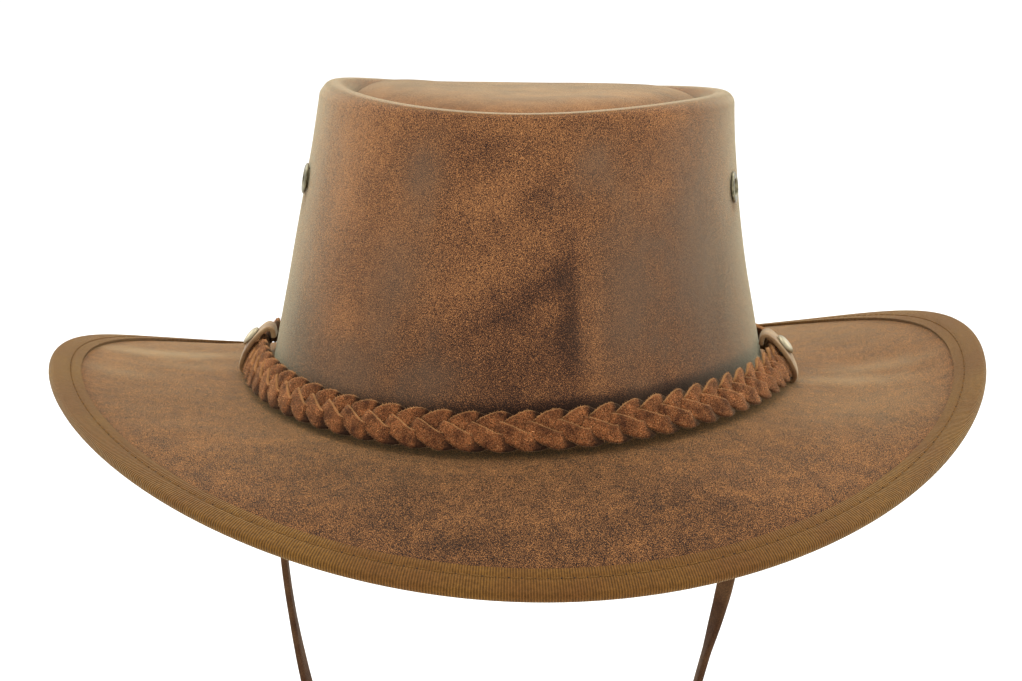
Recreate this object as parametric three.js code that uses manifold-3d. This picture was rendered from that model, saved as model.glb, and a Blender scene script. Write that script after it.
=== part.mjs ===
// A leather bush hat: an oval crown with a sunken tip, a wide brim bound at its edge,
// a braided band held by two straps, two vent eyelets and a hanging chin lace.
// Millimetres, +Z up, +X to the wearer's left, +Y to the back.
// The origin is the centre of the head opening, level with the foot of the crown.
import * as THREE from 'three';
import Module from 'manifold-3d';
import { mergeVertices } from 'three/addons/utils/BufferGeometryUtils.js';

// Head opening and leather
const HEAD_HALF_WIDTH = 82;
const HEAD_HALF_LENGTH = 100;
const LEATHER = 2;
const BRIM_LEATHER = 2;
const GAP = 0.3;

// Crown
const CROWN_HEIGHT = 101.5;
const RIM_HALF_WIDTH = 68.9;
const RIM_HALF_LENGTH = 88;
const CROWN_LEAN = 3.2;
const CROWN_WAIST = 1.6;
const RIM_ROLL = 4.5;
const GUTTER_DEPTH = 6;
const TIP_DOME = 9.5;
const TIP_DOME_POWER = 8;

// Brim and its ribbon binding
const BRIM_WIDTH = 74.5;
const BINDING_WIDTH = 10.6;
const BINDING_RIBBON = 0.7;

// Braided band in the corner between crown and brim
const BAND_REST_ON_CROWN = 11;
const BAND_REST_ON_BRIM = 7.5;
const BAND_THICKNESS = 4.8;
const BAND_LOBE_PITCH = 8.6;
const BAND_LOBE_DEPTH = 0.5;

// Straps that keep the band down, each with a metal stud
const KEEPER_WIDTH = 10;
const KEEPER_LEATHER = 1.8;
const KEEPER_TOP = 17.5;
const KEEPER_TURN = -4;
const STUD_RADIUS = 3.7;
const STUD_HEIGHT = 2;

// Vent eyelets
const EYELET_RISE = 0.685;
const EYELET_TURN = -12.5;
const EYELET_RADIUS = 5.2;
const EYELET_BORE = 2.6;
const EYELET_WALL = 0.7;
const EYELET_FLANGE = 1.2;

// Lace and the tabs that it hangs from
const LACE_WIDTH = 6;
const LACE_THICKNESS = 2.4;
const TAB_WIDTH = 12;
const TAB_LEATHER = 1.8;
const TAB_HEIGHT = 17;
const TAB_DROP = 4;

// How finely the soft forms are divided
const AROUND = 72;
const LACE_STEPS = 44;

// The form of the hat by direction: 0 is the wearer's left, 90 the back, 180 the right, 270 the front.
// foot and rim are shares of the crown's height. slope is the brim's angle where it leaves the
// crown and curl is how far it has turned up by its edge, both in degrees.
const FORM = [
  { at: 0, foot: -0.014, rim: 0.945, slope: -7, curl: 30 },
  { at: 30, foot: -0.056, rim: 0.895, slope: -2, curl: 18 },
  { at: 60, foot: -0.086, rim: 0.850, slope: -9, curl: 4 },
  { at: 90, foot: -0.076, rim: 0.830, slope: -21, curl: 6 },
  { at: 120, foot: -0.048, rim: 0.855, slope: -23, curl: 11 },
  { at: 150, foot: -0.016, rim: 0.915, slope: -14, curl: 15 },
  { at: 180, foot: -0.004, rim: 0.974, slope: -5, curl: 20 },
  { at: 210, foot: -0.010, rim: 1.000, slope: -2, curl: 9 },
  { at: 240, foot: -0.022, rim: 1.003, slope: -3, curl: -14 },
  { at: 270, foot: -0.020, rim: 1.000, slope: -5, curl: -34 },
  { at: 300, foot: -0.004, rim: 1.000, slope: -6, curl: -29 },
  { at: 330, foot: 0.005, rim: 0.985, slope: -9, curl: 5 },
];

// The lace's route, from the tab on the wearer's right round under the chin to the tab on the left.
const LACE_ROUTE = [
  [-81.2, 0, -36],
  [-81, 0, -70],
  [-74, 0, -113],
  [-62.6, -1, -152],
  [-48, -2, -190],
  [-32, -3, -222],
  [-15, -3, -241],
  [2, -3, -247],
  [18, -3, -238],
  [32, -2, -215],
  [44, -1, -182],
  [54, 0, -146],
  [62, 0, -112],
  [71.4, 0, -75],
  [77.5, 0, -38],
];

const FOOT_HALF_WIDTH = HEAD_HALF_WIDTH + LEATHER;
const FOOT_HALF_LENGTH = HEAD_HALF_LENGTH + LEATHER;
const UP = new THREE.Vector3(0, 0, 1);

const radians = THREE.MathUtils.degToRad;

// A smooth closed curve through one column of the evenly spaced rows of FORM.
function form(column, turn) {
  const count = FORM.length;
  let value = 0;
  for (const row of FORM) {
    const away = turn - radians(row.at);
    const half = Math.tan(away / 2);
    const weight = Math.abs(half) < 1e-9 ? 1 : Math.sin((count * away) / 2) / (count * half);
    value += row[column] * weight;
  }
  return value;
}

// The outward direction, level, of an oval at one turn.
function outward(halfWidth, halfLength, turn) {
  return new THREE.Vector3(Math.cos(turn) / halfWidth, Math.sin(turn) / halfLength, 0).normalize();
}

// The foot of the crown's outer face.
function foot(turn) {
  return new THREE.Vector3(
    FOOT_HALF_WIDTH * Math.cos(turn),
    FOOT_HALF_LENGTH * Math.sin(turn),
    CROWN_HEIGHT * form('foot', turn),
  );
}

// The corner where the crown's outer face, carried straight on, reaches the height of its rim.
function rim(turn) {
  return new THREE.Vector3(
    RIM_HALF_WIDTH * Math.cos(turn) + CROWN_LEAN,
    RIM_HALF_LENGTH * Math.sin(turn),
    CROWN_HEIGHT * form('rim', turn),
  );
}

// A point of the crown's wall: rise is 0 at the foot and 1 at the rim, inset is the depth into the leather.
function wall(turn, rise, inset = 0) {
  const waist = CROWN_WAIST * (1 + 0.75 * Math.cos(turn)) * 4 * rise * (1 - rise);
  return foot(turn)
    .lerp(rim(turn), rise)
    .addScaledVector(outward(FOOT_HALF_WIDTH, FOOT_HALF_LENGTH, turn), -waist - inset);
}

// The same wall by height above the foot.
function wallAt(turn, height, inset = 0) {
  return wall(turn, height / (rim(turn).z - foot(turn).z), inset);
}

// A point inside the rim: inward from the rim's corner and down from its top.
function rimPoint(turn, inward, down) {
  return rim(turn)
    .addScaledVector(outward(RIM_HALF_WIDTH, RIM_HALF_LENGTH, turn), -inward)
    .addScaledVector(UP, -down);
}

// A point of the brim: distance out from the foot along its top face, and lift off that face.
function brim(turn, distance, lift = 0) {
  const slope = radians(form('slope', turn));
  const curl = radians(form('curl', turn)) / BRIM_WIDTH;
  const angle = slope + curl * distance;
  const middle = slope + (curl * distance) / 2;
  const half = (curl * distance) / 2;
  const chord = Math.abs(half) < 1e-9 ? distance : (distance * Math.sin(half)) / half;
  const out = chord * Math.cos(middle) - lift * Math.sin(angle);
  const rise = chord * Math.sin(middle) + lift * Math.cos(angle);
  return foot(turn)
    .addScaledVector(outward(FOOT_HALF_WIDTH, FOOT_HALF_LENGTH, turn), out)
    .addScaledVector(UP, rise);
}

// A point of the band: along runs from its edge on the crown to its edge on the brim, lift stands off its back.
function band(turn, along, lift) {
  const top = wallAt(turn, BAND_REST_ON_CROWN, -GAP);
  const bottom = brim(turn, BAND_REST_ON_BRIM, GAP);
  const across = bottom.clone().sub(top);
  const side = outward(FOOT_HALF_WIDTH, FOOT_HALF_LENGTH, turn).cross(UP);
  const face = across.clone().cross(side).normalize();
  return top.addScaledVector(across, along).addScaledVector(face, -lift);
}

// A closed ring: one section at each turn round the hat, joined to the next.
function ringSolid(around, sectionAt) {
  const points = [];
  for (let i = 0; i < around; i += 1) {
    points.push(...sectionAt((2 * Math.PI * i) / around, i));
  }
  const perSection = points.length / around;
  const index = [];
  for (let i = 0; i < around; i += 1) {
    const next = (i + 1) % around;
    for (let j = 0; j < perSection; j += 1) {
      const up = (j + 1) % perSection;
      const a = i * perSection + j;
      const b = next * perSection + j;
      const c = next * perSection + up;
      const d = i * perSection + up;
      index.push(a, b, c, a, c, d);
    }
  }
  return indexed(points, index);
}

// A closed disc: rings from the middle of the top out to the edge and back along the underside.
function discSolid(around, topMiddle, bottomMiddle, ringsAt) {
  const points = [topMiddle];
  for (let i = 0; i < around; i += 1) {
    points.push(...ringsAt((2 * Math.PI * i) / around));
  }
  const rings = (points.length - 1) / around;
  points.push(bottomMiddle);
  const last = points.length - 1;
  const index = [];
  for (let i = 0; i < around; i += 1) {
    const here = 1 + i * rings;
    const next = 1 + ((i + 1) % around) * rings;
    index.push(0, here, next);
    for (let j = 0; j < rings - 1; j += 1) {
      index.push(here + j, here + j + 1, next + j + 1);
      index.push(here + j, next + j + 1, next + j);
    }
    index.push(here + rings - 1, last, next + rings - 1);
  }
  return indexed(points, index);
}

function indexed(points, index) {
  const geometry = new THREE.BufferGeometry().setFromPoints(points);
  geometry.setIndex(index);
  return geometry;
}

// A flat outline in the upright plane at one turn, given a thickness round the hat.
// x of the outline is outward from the foot, y is up.
function slab(turn, outline, width) {
  const shape = new THREE.Shape(outline);
  const geometry = new THREE.ExtrudeGeometry(shape, { depth: width, bevelEnabled: false });
  geometry.translate(0, 0, -width / 2);
  const out = outward(FOOT_HALF_WIDTH, FOOT_HALF_LENGTH, turn);
  const side = out.clone().cross(UP);
  const place = new THREE.Matrix4().makeBasis(out, UP, side).setPosition(foot(turn));
  return geometry.applyMatrix4(place);
}

// The same plane's coordinates of a point.
function inSlab(turn, point) {
  const away = point.clone().sub(foot(turn));
  return new THREE.Vector2(away.dot(outward(FOOT_HALF_WIDTH, FOOT_HALF_LENGTH, turn)), away.z);
}

// An outline of even thickness that follows a line of 2D points on its outer side.
function strapOutline(line, thickness) {
  const outer = line.map((point, i) => {
    const before = line[Math.max(i - 1, 0)];
    const after = line[Math.min(i + 1, line.length - 1)];
    const first = i === 0 ? after.clone().sub(point) : point.clone().sub(before);
    const second = i === line.length - 1 ? first.clone() : after.clone().sub(point);
    first.normalize();
    second.normalize();
    const mean = first.clone().add(second).normalize();
    const stretch = thickness / Math.max(mean.dot(first), 0.5);
    return new THREE.Vector2(point.x - mean.y * stretch, point.y + mean.x * stretch);
  });
  return [...line, ...outer.reverse()];
}

const wasm = await Module();
wasm.setup();

function toSolid(geometry) {
  const bare = geometry.clone();
  bare.deleteAttribute('normal');
  bare.deleteAttribute('uv');
  const merged = mergeVertices(bare, 1e-4);
  return new wasm.Manifold(new wasm.Mesh({
    numProp: 3,
    vertProperties: new Float32Array(merged.attributes.position.array),
    triVerts: new Uint32Array(merged.index.array),
  }));
}

function toGeometry(solid) {
  const mesh = solid.getMesh();
  const geometry = new THREE.BufferGeometry();
  geometry.setAttribute('position', new THREE.BufferAttribute(new Float32Array(mesh.vertProperties), 3));
  geometry.setIndex(new THREE.BufferAttribute(new Uint32Array(mesh.triVerts), 1));
  return geometry;
}

// Materials
const crownLeather = new THREE.MeshStandardMaterial({ color: 0x7a4b2a, roughness: 0.62, metalness: 0 });
const brimLeather = new THREE.MeshStandardMaterial({ color: 0x6b4326, roughness: 0.62, metalness: 0 });
const ribbon = new THREE.MeshStandardMaterial({ color: 0x7a552c, roughness: 0.85, metalness: 0 });
const braidLeather = new THREE.MeshStandardMaterial({ color: 0x7d4426, roughness: 0.9, metalness: 0 });
const strapLeather = new THREE.MeshStandardMaterial({ color: 0x6a5444, roughness: 0.7, metalness: 0 });
const nickel = new THREE.MeshStandardMaterial({ color: 0xc8c6c0, roughness: 0.25, metalness: 1 });
const darkMetal = new THREE.MeshStandardMaterial({ color: 0x4a4840, roughness: 0.4, metalness: 1 });
const laceLeather = new THREE.MeshStandardMaterial({ color: 0x4a2c20, roughness: 0.8, metalness: 0 });

// The two sides of the hat: each gives the turn of a place so many degrees on from its middle.
const SIDES = [
  { name: 'left', turnOf: (degrees) => radians(degrees) },
  { name: 'right', turnOf: (degrees) => Math.PI - radians(degrees) },
];

// Crown side: a wall of leather that rolls over at the rim and ends in the gutter round the tip.
const WALL_RISES = [0, BAND_REST_ON_CROWN / CROWN_HEIGHT, 0.4, 0.7, 0.92];
const ROLL_ANGLES = [150, 112, 75, 35];

function rollPoint(turn, degrees, radius) {
  const inward = RIM_ROLL + radius * Math.cos(radians(degrees));
  return rimPoint(turn, inward, RIM_ROLL - radius * Math.sin(radians(degrees)));
}

function crownSection(turn) {
  const footOuter = brim(turn, 0, GAP);
  const footInner = brim(turn, -LEATHER, GAP);
  const outer = WALL_RISES.slice(1).map((rise) => wall(turn, rise));
  const inner = WALL_RISES.slice(1).map((rise) => wall(turn, rise, LEATHER));
  const rollOuter = ROLL_ANGLES.map((degrees) => rollPoint(turn, degrees, RIM_ROLL));
  const rollInner = ROLL_ANGLES.slice(0, 3).map((degrees) => rollPoint(turn, degrees, RIM_ROLL - LEATHER));
  const end = [rimPoint(turn, 2 * RIM_ROLL, GUTTER_DEPTH), rimPoint(turn, 2 * RIM_ROLL - LEATHER, GUTTER_DEPTH)];
  return [footOuter, ...outer, ...rollOuter, ...end, ...rollInner.reverse(), ...inner.reverse(), footInner];
}

// The upright side of one eyelet: where its axis meets the outer face, and the way out.
function eyeletSeat(turn) {
  const seat = wall(turn, EYELET_RISE);
  const above = wall(turn, EYELET_RISE + 0.05).sub(wall(turn, EYELET_RISE - 0.05));
  const round = wall(turn + 0.02, EYELET_RISE).sub(wall(turn - 0.02, EYELET_RISE));
  const out = round.cross(above).normalize();
  return { seat, out };
}

function standOn(geometry, seat, out) {
  const turned = new THREE.Quaternion().setFromUnitVectors(new THREE.Vector3(0, 1, 0), out);
  return geometry.applyQuaternion(turned).translate(seat.x, seat.y, seat.z);
}

function ventHole(turn) {
  const { seat, out } = eyeletSeat(turn);
  const radius = EYELET_BORE + EYELET_WALL + GAP;
  return toSolid(standOn(new THREE.CylinderGeometry(radius, radius, 6 * LEATHER, 20), seat, out));
}

function crownSide() {
  let solid = toSolid(ringSolid(AROUND, crownSection));
  for (const side of SIDES) {
    solid = solid.subtract(ventHole(side.turnOf(EYELET_TURN)));
  }
  return toGeometry(solid);
}

// Crown tip: an oval panel whose margin lies under the rolled rim and whose middle is puffed up.
const TIP_SHARES = [0.4, 0.7, 0.86, 0.95, 1];

function tipEdge(turn) {
  return rimPoint(turn, 2 * RIM_ROLL + GAP, GUTTER_DEPTH + GAP);
}

const TIP_TILT = (tipEdge(Math.PI / 2).z - tipEdge(-Math.PI / 2).z) / (tipEdge(Math.PI / 2).y - tipEdge(-Math.PI / 2).y);
const TIP_LEVEL = (tipEdge(Math.PI / 2).z + tipEdge(-Math.PI / 2).z) / 2;

function tipPoint(turn, share, depth) {
  const edge = tipEdge(turn);
  const x = THREE.MathUtils.lerp(CROWN_LEAN, edge.x, share);
  const y = edge.y * share;
  const warp = edge.z - TIP_LEVEL - TIP_TILT * edge.y;
  const dome = TIP_DOME * (1 - share ** TIP_DOME_POWER);
  return new THREE.Vector3(x, y, TIP_LEVEL + TIP_TILT * y + warp * share * share + dome - depth);
}

function crownTip() {
  return discSolid(AROUND, tipPoint(0, 0, 0), tipPoint(0, 0, LEATHER), (turn) => {
    const top = TIP_SHARES.map((share) => tipPoint(turn, share, 0));
    const bottom = TIP_SHARES.map((share) => tipPoint(turn, share, LEATHER));
    const margin = 2 * RIM_ROLL - LEATHER;
    const marginTop = rimPoint(turn, margin, GUTTER_DEPTH + GAP);
    const marginBottom = rimPoint(turn, margin, GUTTER_DEPTH + GAP + LEATHER);
    return [...top, marginTop, marginBottom, ...bottom.reverse()];
  });
}

// Brim: one thickness of leather from under the crown's foot to the fold of the binding.
const BINDING_START = BRIM_WIDTH - BINDING_WIDTH;
const BRIM_EDGE = BRIM_WIDTH - BINDING_RIBBON - GAP;
const BRIM_SHARES = [0.2, 0.45, 0.72, 1];

function brimSection(turn) {
  const reach = [-LEATHER, ...BRIM_SHARES.map((share) => share * BINDING_START), BRIM_EDGE];
  const top = reach.map((distance) => brim(turn, distance));
  const bottom = reach.map((distance) => brim(turn, distance, -BRIM_LEATHER));
  return [...bottom, ...top.reverse()];
}

// Binding: a ribbon folded round the brim's edge.
function bindingSection(turn) {
  const fold = BRIM_WIDTH - BINDING_RIBBON;
  const over = GAP + BINDING_RIBBON;
  const under = -BRIM_LEATHER - GAP - BINDING_RIBBON;
  return [
    brim(turn, BINDING_START, -BRIM_LEATHER - GAP),
    brim(turn, BINDING_START, under),
    brim(turn, fold, under),
    brim(turn, BRIM_WIDTH, -BRIM_LEATHER / 2),
    brim(turn, fold, over),
    brim(turn, BINDING_START, over),
    brim(turn, BINDING_START, GAP),
    brim(turn, fold, GAP),
    brim(turn, fold, -BRIM_LEATHER - GAP),
  ];
}

// Band: one solid of the braid's outer form, its two edges scalloped lobe by lobe.
const BAND_OUTLINE = [
  { along: 1, lift: 0, lobe: 0 },
  { along: 1, lift: 0.45, lobe: 1 },
  { along: 0.86, lift: 0.88, lobe: 1 },
  { along: 0.62, lift: 1, lobe: 0 },
  { along: 0.36, lift: 0.93, lobe: 0 },
  { along: 0.12, lift: 0.85, lobe: -1 },
  { along: 0, lift: 0.45, lobe: -1 },
  { along: 0, lift: 0, lobe: 0 },
];

const BAND_PERIMETER = Math.PI * (3 * (FOOT_HALF_WIDTH + FOOT_HALF_LENGTH)
  - Math.sqrt((3 * FOOT_HALF_WIDTH + FOOT_HALF_LENGTH) * (FOOT_HALF_WIDTH + 3 * FOOT_HALF_LENGTH)));
const BAND_LOBES = Math.round(BAND_PERIMETER / BAND_LOBE_PITCH);

function bandSection(turn, i) {
  const swell = i % 2 === 0 ? BAND_LOBE_DEPTH : -BAND_LOBE_DEPTH;
  const length = band(turn, 1, 0).distanceTo(band(turn, 0, 0));
  return BAND_OUTLINE.map(({ along, lift, lobe }) => band(
    turn,
    along + (lobe * swell) / length - (lobe * BAND_LOBE_DEPTH) / length,
    lift * BAND_THICKNESS,
  ));
}

// Keeper: a strap that stands against the crown, arches over the band and comes down to the brim.
const KEEPER_START = BAND_REST_ON_CROWN + 2.3;
const KEEPER_ARCH = 1.2;
const KEEPER_SEAT = [0.12, 0.8];
const KEEPER_LANDING = BAND_REST_ON_BRIM + BAND_THICKNESS * 0.72;
const STUD_ALONG = 0.4;

function keeper(turn) {
  const offWall = GAP + KEEPER_LEATHER;
  const line = [
    inSlab(turn, wallAt(turn, KEEPER_START, -offWall)),
    inSlab(turn, wallAt(turn, KEEPER_TOP - 1.4 * KEEPER_LEATHER, -offWall - KEEPER_ARCH)),
    inSlab(turn, band(turn, KEEPER_SEAT[0], BAND_THICKNESS + GAP)),
    inSlab(turn, band(turn, KEEPER_SEAT[1], BAND_THICKNESS + GAP)),
    inSlab(turn, brim(turn, KEEPER_LANDING, GAP)),
  ];
  return slab(turn, strapOutline(line, KEEPER_LEATHER), KEEPER_WIDTH);
}

function stud(turn) {
  const seat = band(turn, STUD_ALONG, BAND_THICKNESS + KEEPER_LEATHER + 2 * GAP);
  const out = band(turn, STUD_ALONG, 1).sub(band(turn, STUD_ALONG, 0));
  const profile = [
    new THREE.Vector2(0, 0),
    new THREE.Vector2(STUD_RADIUS * 0.92, 0),
    new THREE.Vector2(STUD_RADIUS, STUD_HEIGHT * 0.25),
    new THREE.Vector2(STUD_RADIUS * 0.88, STUD_HEIGHT * 0.62),
    new THREE.Vector2(STUD_RADIUS * 0.55, STUD_HEIGHT * 0.9),
    new THREE.Vector2(0, STUD_HEIGHT),
  ];
  return standOn(new THREE.LatheGeometry(profile, 20), seat, out);
}

// Eyelet: an outer flange, a barrel through the leather and a turned edge inside.
function eyelet(turn) {
  const { seat, out } = eyeletSeat(turn);
  const barrel = EYELET_BORE + EYELET_WALL;
  const inside = -LEATHER - GAP;
  const turned = (EYELET_RADIUS + barrel) / 2;
  const profile = [
    new THREE.Vector2(EYELET_BORE, inside - EYELET_WALL),
    new THREE.Vector2(turned, inside - EYELET_WALL),
    new THREE.Vector2(turned, inside),
    new THREE.Vector2(barrel, inside),
    new THREE.Vector2(barrel, GAP),
    new THREE.Vector2(EYELET_RADIUS, GAP),
    new THREE.Vector2(EYELET_RADIUS * 0.93, GAP + EYELET_FLANGE * 0.7),
    new THREE.Vector2((EYELET_RADIUS + EYELET_BORE) / 2, GAP + EYELET_FLANGE),
    new THREE.Vector2(EYELET_BORE, GAP + EYELET_FLANGE * 0.5),
    new THREE.Vector2(EYELET_BORE, inside - EYELET_WALL),
  ];
  return standOn(new THREE.LatheGeometry(profile, 20), seat, out);
}

// Tab: a plain piece of leather inside the crown that one end of the lace hangs from.
// Its flat back stands clear of the curved wall by the hollow of the wall over its width.
const TAB_HOLLOW = (TAB_WIDTH ** 2 * FOOT_HALF_WIDTH) / (8 * FOOT_HALF_LENGTH ** 2);

function tabBack(turn) {
  const brimInside = inSlab(turn, brim(turn, -LEATHER, -BRIM_LEATHER)).x;
  return Math.min(-LEATHER, brimInside) - TAB_HOLLOW - GAP;
}

function tab(turn) {
  const back = tabBack(turn);
  const high = inSlab(turn, wallAt(turn, TAB_HEIGHT - TAB_DROP, LEATHER + TAB_HOLLOW + GAP));
  const outline = [
    new THREE.Vector2(back, -TAB_DROP),
    new THREE.Vector2(back, 0),
    high,
    new THREE.Vector2(high.x - TAB_LEATHER, high.y),
    new THREE.Vector2(back - TAB_LEATHER, 0),
    new THREE.Vector2(back - TAB_LEATHER, -TAB_DROP),
  ];
  return slab(turn, outline, TAB_WIDTH);
}

// Lace: one flat thong on a hanging loop, from tab to tab.
function laceEnd(turn) {
  return foot(turn)
    .addScaledVector(outward(FOOT_HALF_WIDTH, FOOT_HALF_LENGTH, turn), tabBack(turn) - TAB_LEATHER / 2)
    .addScaledVector(UP, -TAB_DROP - GAP);
}

function lace() {
  const [left, right] = SIDES.map((side) => laceEnd(side.turnOf(0)));
  const route = LACE_ROUTE.map((point) => new THREE.Vector3(...point));
  const path = new THREE.CatmullRomCurve3([right, ...route, left]);
  const w = LACE_WIDTH / 2;
  const t = LACE_THICKNESS / 2;
  const round = t * 0.5;
  const section = new THREE.Shape([
    new THREE.Vector2(-t, -w + round),
    new THREE.Vector2(-t + round, -w),
    new THREE.Vector2(t - round, -w),
    new THREE.Vector2(t, -w + round),
    new THREE.Vector2(t, w - round),
    new THREE.Vector2(t - round, w),
    new THREE.Vector2(-t + round, w),
    new THREE.Vector2(-t, w - round),
  ]);
  return new THREE.ExtrudeGeometry(section, { steps: LACE_STEPS, extrudePath: path, bevelEnabled: false });
}

// Assembly
const hat = new THREE.Group();

function add(name, geometry, material) {
  const mesh = new THREE.Mesh(geometry, material);
  mesh.name = name;
  hat.add(mesh);
}

add('crown_side', crownSide(), crownLeather);
add('crown_tip', crownTip(), crownLeather);
add('brim', ringSolid(AROUND, brimSection), brimLeather);
add('brim_binding', ringSolid(AROUND, bindingSection), ribbon);
add('hat_band', ringSolid(2 * BAND_LOBES, bandSection), braidLeather);
for (const { name, turnOf } of SIDES) {
  add(`keeper_${name}`, keeper(turnOf(KEEPER_TURN)), strapLeather);
  add(`stud_${name}`, stud(turnOf(KEEPER_TURN)), nickel);
  add(`eyelet_${name}`, eyelet(turnOf(EYELET_TURN)), darkMetal);
  add(`lace_tab_${name}`, tab(turnOf(0)), strapLeather);
}
add('chin_lace', lace(), laceLeather);

export default hat;
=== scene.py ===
# %% [markdown]
# # A leather bush hat, made piece by piece
# The hat has an oval crown with a rolled rim and a sunken tip, a wide brim bound in ribbon,
# a braided band under two straps, two vent eyelets and a long chin lace.
# The CAD model is loaded first as a fixed frame. Every soft piece is made again in fine mesh
# on the same formulas, so that it lies exactly where its plain solid lies.

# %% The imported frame
import math

import bpy
import numpy as np
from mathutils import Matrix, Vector, noise


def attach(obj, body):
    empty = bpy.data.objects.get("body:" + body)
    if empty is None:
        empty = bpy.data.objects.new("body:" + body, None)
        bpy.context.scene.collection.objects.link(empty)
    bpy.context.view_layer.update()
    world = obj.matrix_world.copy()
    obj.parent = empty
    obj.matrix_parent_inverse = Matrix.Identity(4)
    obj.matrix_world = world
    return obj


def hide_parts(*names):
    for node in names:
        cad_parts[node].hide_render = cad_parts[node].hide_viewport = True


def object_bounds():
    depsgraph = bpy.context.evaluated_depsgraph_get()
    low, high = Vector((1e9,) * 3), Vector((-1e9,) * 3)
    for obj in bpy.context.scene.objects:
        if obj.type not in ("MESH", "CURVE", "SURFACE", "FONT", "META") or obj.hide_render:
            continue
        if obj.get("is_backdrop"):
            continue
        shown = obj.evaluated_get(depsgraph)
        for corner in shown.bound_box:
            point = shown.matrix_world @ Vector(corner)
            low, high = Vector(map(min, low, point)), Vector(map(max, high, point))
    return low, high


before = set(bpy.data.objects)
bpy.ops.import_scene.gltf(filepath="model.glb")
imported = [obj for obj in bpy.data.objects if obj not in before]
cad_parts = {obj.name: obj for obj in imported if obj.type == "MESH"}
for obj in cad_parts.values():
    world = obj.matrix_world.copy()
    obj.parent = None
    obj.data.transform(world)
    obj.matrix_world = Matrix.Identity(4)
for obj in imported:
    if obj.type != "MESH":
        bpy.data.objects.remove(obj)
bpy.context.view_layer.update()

MM = 0.001


def put(name, data):
    """A new object in the scene."""
    made = bpy.data.objects.new(name, data)
    bpy.context.collection.objects.link(made)
    return made


# %% [markdown]
# ## The camera
# The photograph was taken a little above the hat and about 1.2 m in front of it.
# The numbers come from fitting the outlines of crown, brim and band to the picture.
# A long lens at that distance keeps the oval of the brim from looking stretched.

# %% The camera
CAMERA_PLACE = (0.0586226, -1.1683194, 0.2771754)
CAMERA_RISE = 12.88
CAMERA_TURN = 3.0
CAMERA_LENS = 124.27

camera_data = bpy.data.cameras.new("camera")
camera_data.sensor_width = 36
camera_data.lens = CAMERA_LENS
camera = put("camera", camera_data)
camera.location = CAMERA_PLACE
camera.rotation_euler = (math.radians(90 - CAMERA_RISE), 0, math.radians(CAMERA_TURN))
bpy.context.scene.camera = camera
print("camera", CAMERA_LENS, "mm lens")

# %% [markdown]
# ## The hat's form
# A shaped leather hat is smooth all the way round, but no two directions are alike: the brim
# is rolled up at the sides and turned down in front, and the rim is lower at the back.
# Twelve rows of numbers, one each 30 degrees, say how it stands, and a smooth closed curve
# runs through each column. Here 0 is the wearer's left, 90 the back and 270 the front.

# %% The form by direction
FOOT_HALF_WIDTH = 84.0
FOOT_HALF_LENGTH = 102.0
LEATHER = 2.0
BRIM_LEATHER = 2.0
GAP = 0.3
CROWN_HEIGHT = 101.5
RIM_HALF_WIDTH = 68.9
RIM_HALF_LENGTH = 88.0
CROWN_LEAN = 3.2
CROWN_WAIST = 1.6
RIM_ROLL = 4.5
GUTTER_DEPTH = 6.0
BRIM_WIDTH = 74.5

COLUMNS = {"foot": 0, "rim": 1, "slope": 2, "curl": 3}
FORM = np.array([
    (-0.014, 0.945, -7, 30),
    (-0.056, 0.895, -2, 18),
    (-0.086, 0.850, -9, 4),
    (-0.076, 0.830, -21, 6),
    (-0.048, 0.855, -23, 11),
    (-0.016, 0.915, -14, 15),
    (-0.004, 0.974, -5, 20),
    (-0.010, 1.000, -2, 9),
    (-0.022, 1.003, -3, -14),
    (-0.020, 1.000, -5, -34),
    (-0.004, 1.000, -6, -29),
    (0.005, 0.985, -9, 5),
])
ROWS = len(FORM)


def form(column, turn):
    """A smooth closed curve through one column, at turns in radians."""
    turn = np.asarray(turn, float)
    value = np.zeros_like(turn)
    for i, row in enumerate(FORM):
        away = turn - 2 * math.pi * i / ROWS
        half = np.tan(away / 2)
        near = np.abs(half) < 1e-9
        safe = np.where(near, 1.0, half)
        weight = np.where(near, 1.0, np.sin(ROWS * away / 2) / (ROWS * safe))
        value = value + row[COLUMNS[column]] * weight
    return value


def stack(x, y, z):
    """Three coordinates as points, spread over each other's shapes."""
    return np.stack(np.broadcast_arrays(x, y, z), axis=-1)


def unit(vectors):
    return vectors / np.linalg.norm(vectors, axis=-1, keepdims=True)


def outward(half_width, half_length, turn):
    """The level direction straight out of an oval."""
    return unit(stack(np.cos(turn) / half_width, np.sin(turn) / half_length, 0.0))


def foot(turn):
    """The foot of the crown's outer face."""
    height = CROWN_HEIGHT * form("foot", turn)
    return stack(FOOT_HALF_WIDTH * np.cos(turn), FOOT_HALF_LENGTH * np.sin(turn), height)


def rim(turn):
    """The corner that the crown's outer face would reach if the rim were not rolled."""
    height = CROWN_HEIGHT * form("rim", turn)
    across = RIM_HALF_WIDTH * np.cos(turn) + CROWN_LEAN
    return stack(across, RIM_HALF_LENGTH * np.sin(turn), height)


def wall(turn, rise, inset=0.0):
    """The crown's wall: rise is 0 at the foot and 1 at the rim."""
    waist = CROWN_WAIST * (1 + 0.75 * np.cos(turn)) * 4 * rise * (1 - rise)
    share = np.asarray(rise)[..., None]
    inward = (waist + inset)[..., None] * outward(FOOT_HALF_WIDTH, FOOT_HALF_LENGTH, turn)
    return foot(turn) * (1 - share) + rim(turn) * share - inward


def wall_at(turn, height, inset=0.0):
    """The same wall by millimetres above its foot."""
    turn = np.asarray(turn, float)
    return wall(turn, height / (rim(turn)[..., 2] - foot(turn)[..., 2]), inset)


def rim_point(turn, inward, down):
    """A place inside the rim: inward from its corner and down from its top."""
    level = outward(RIM_HALF_WIDTH, RIM_HALF_LENGTH, turn)
    return rim(turn) - level * np.asarray(inward)[..., None] - stack(0.0, 0.0, down)


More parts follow.
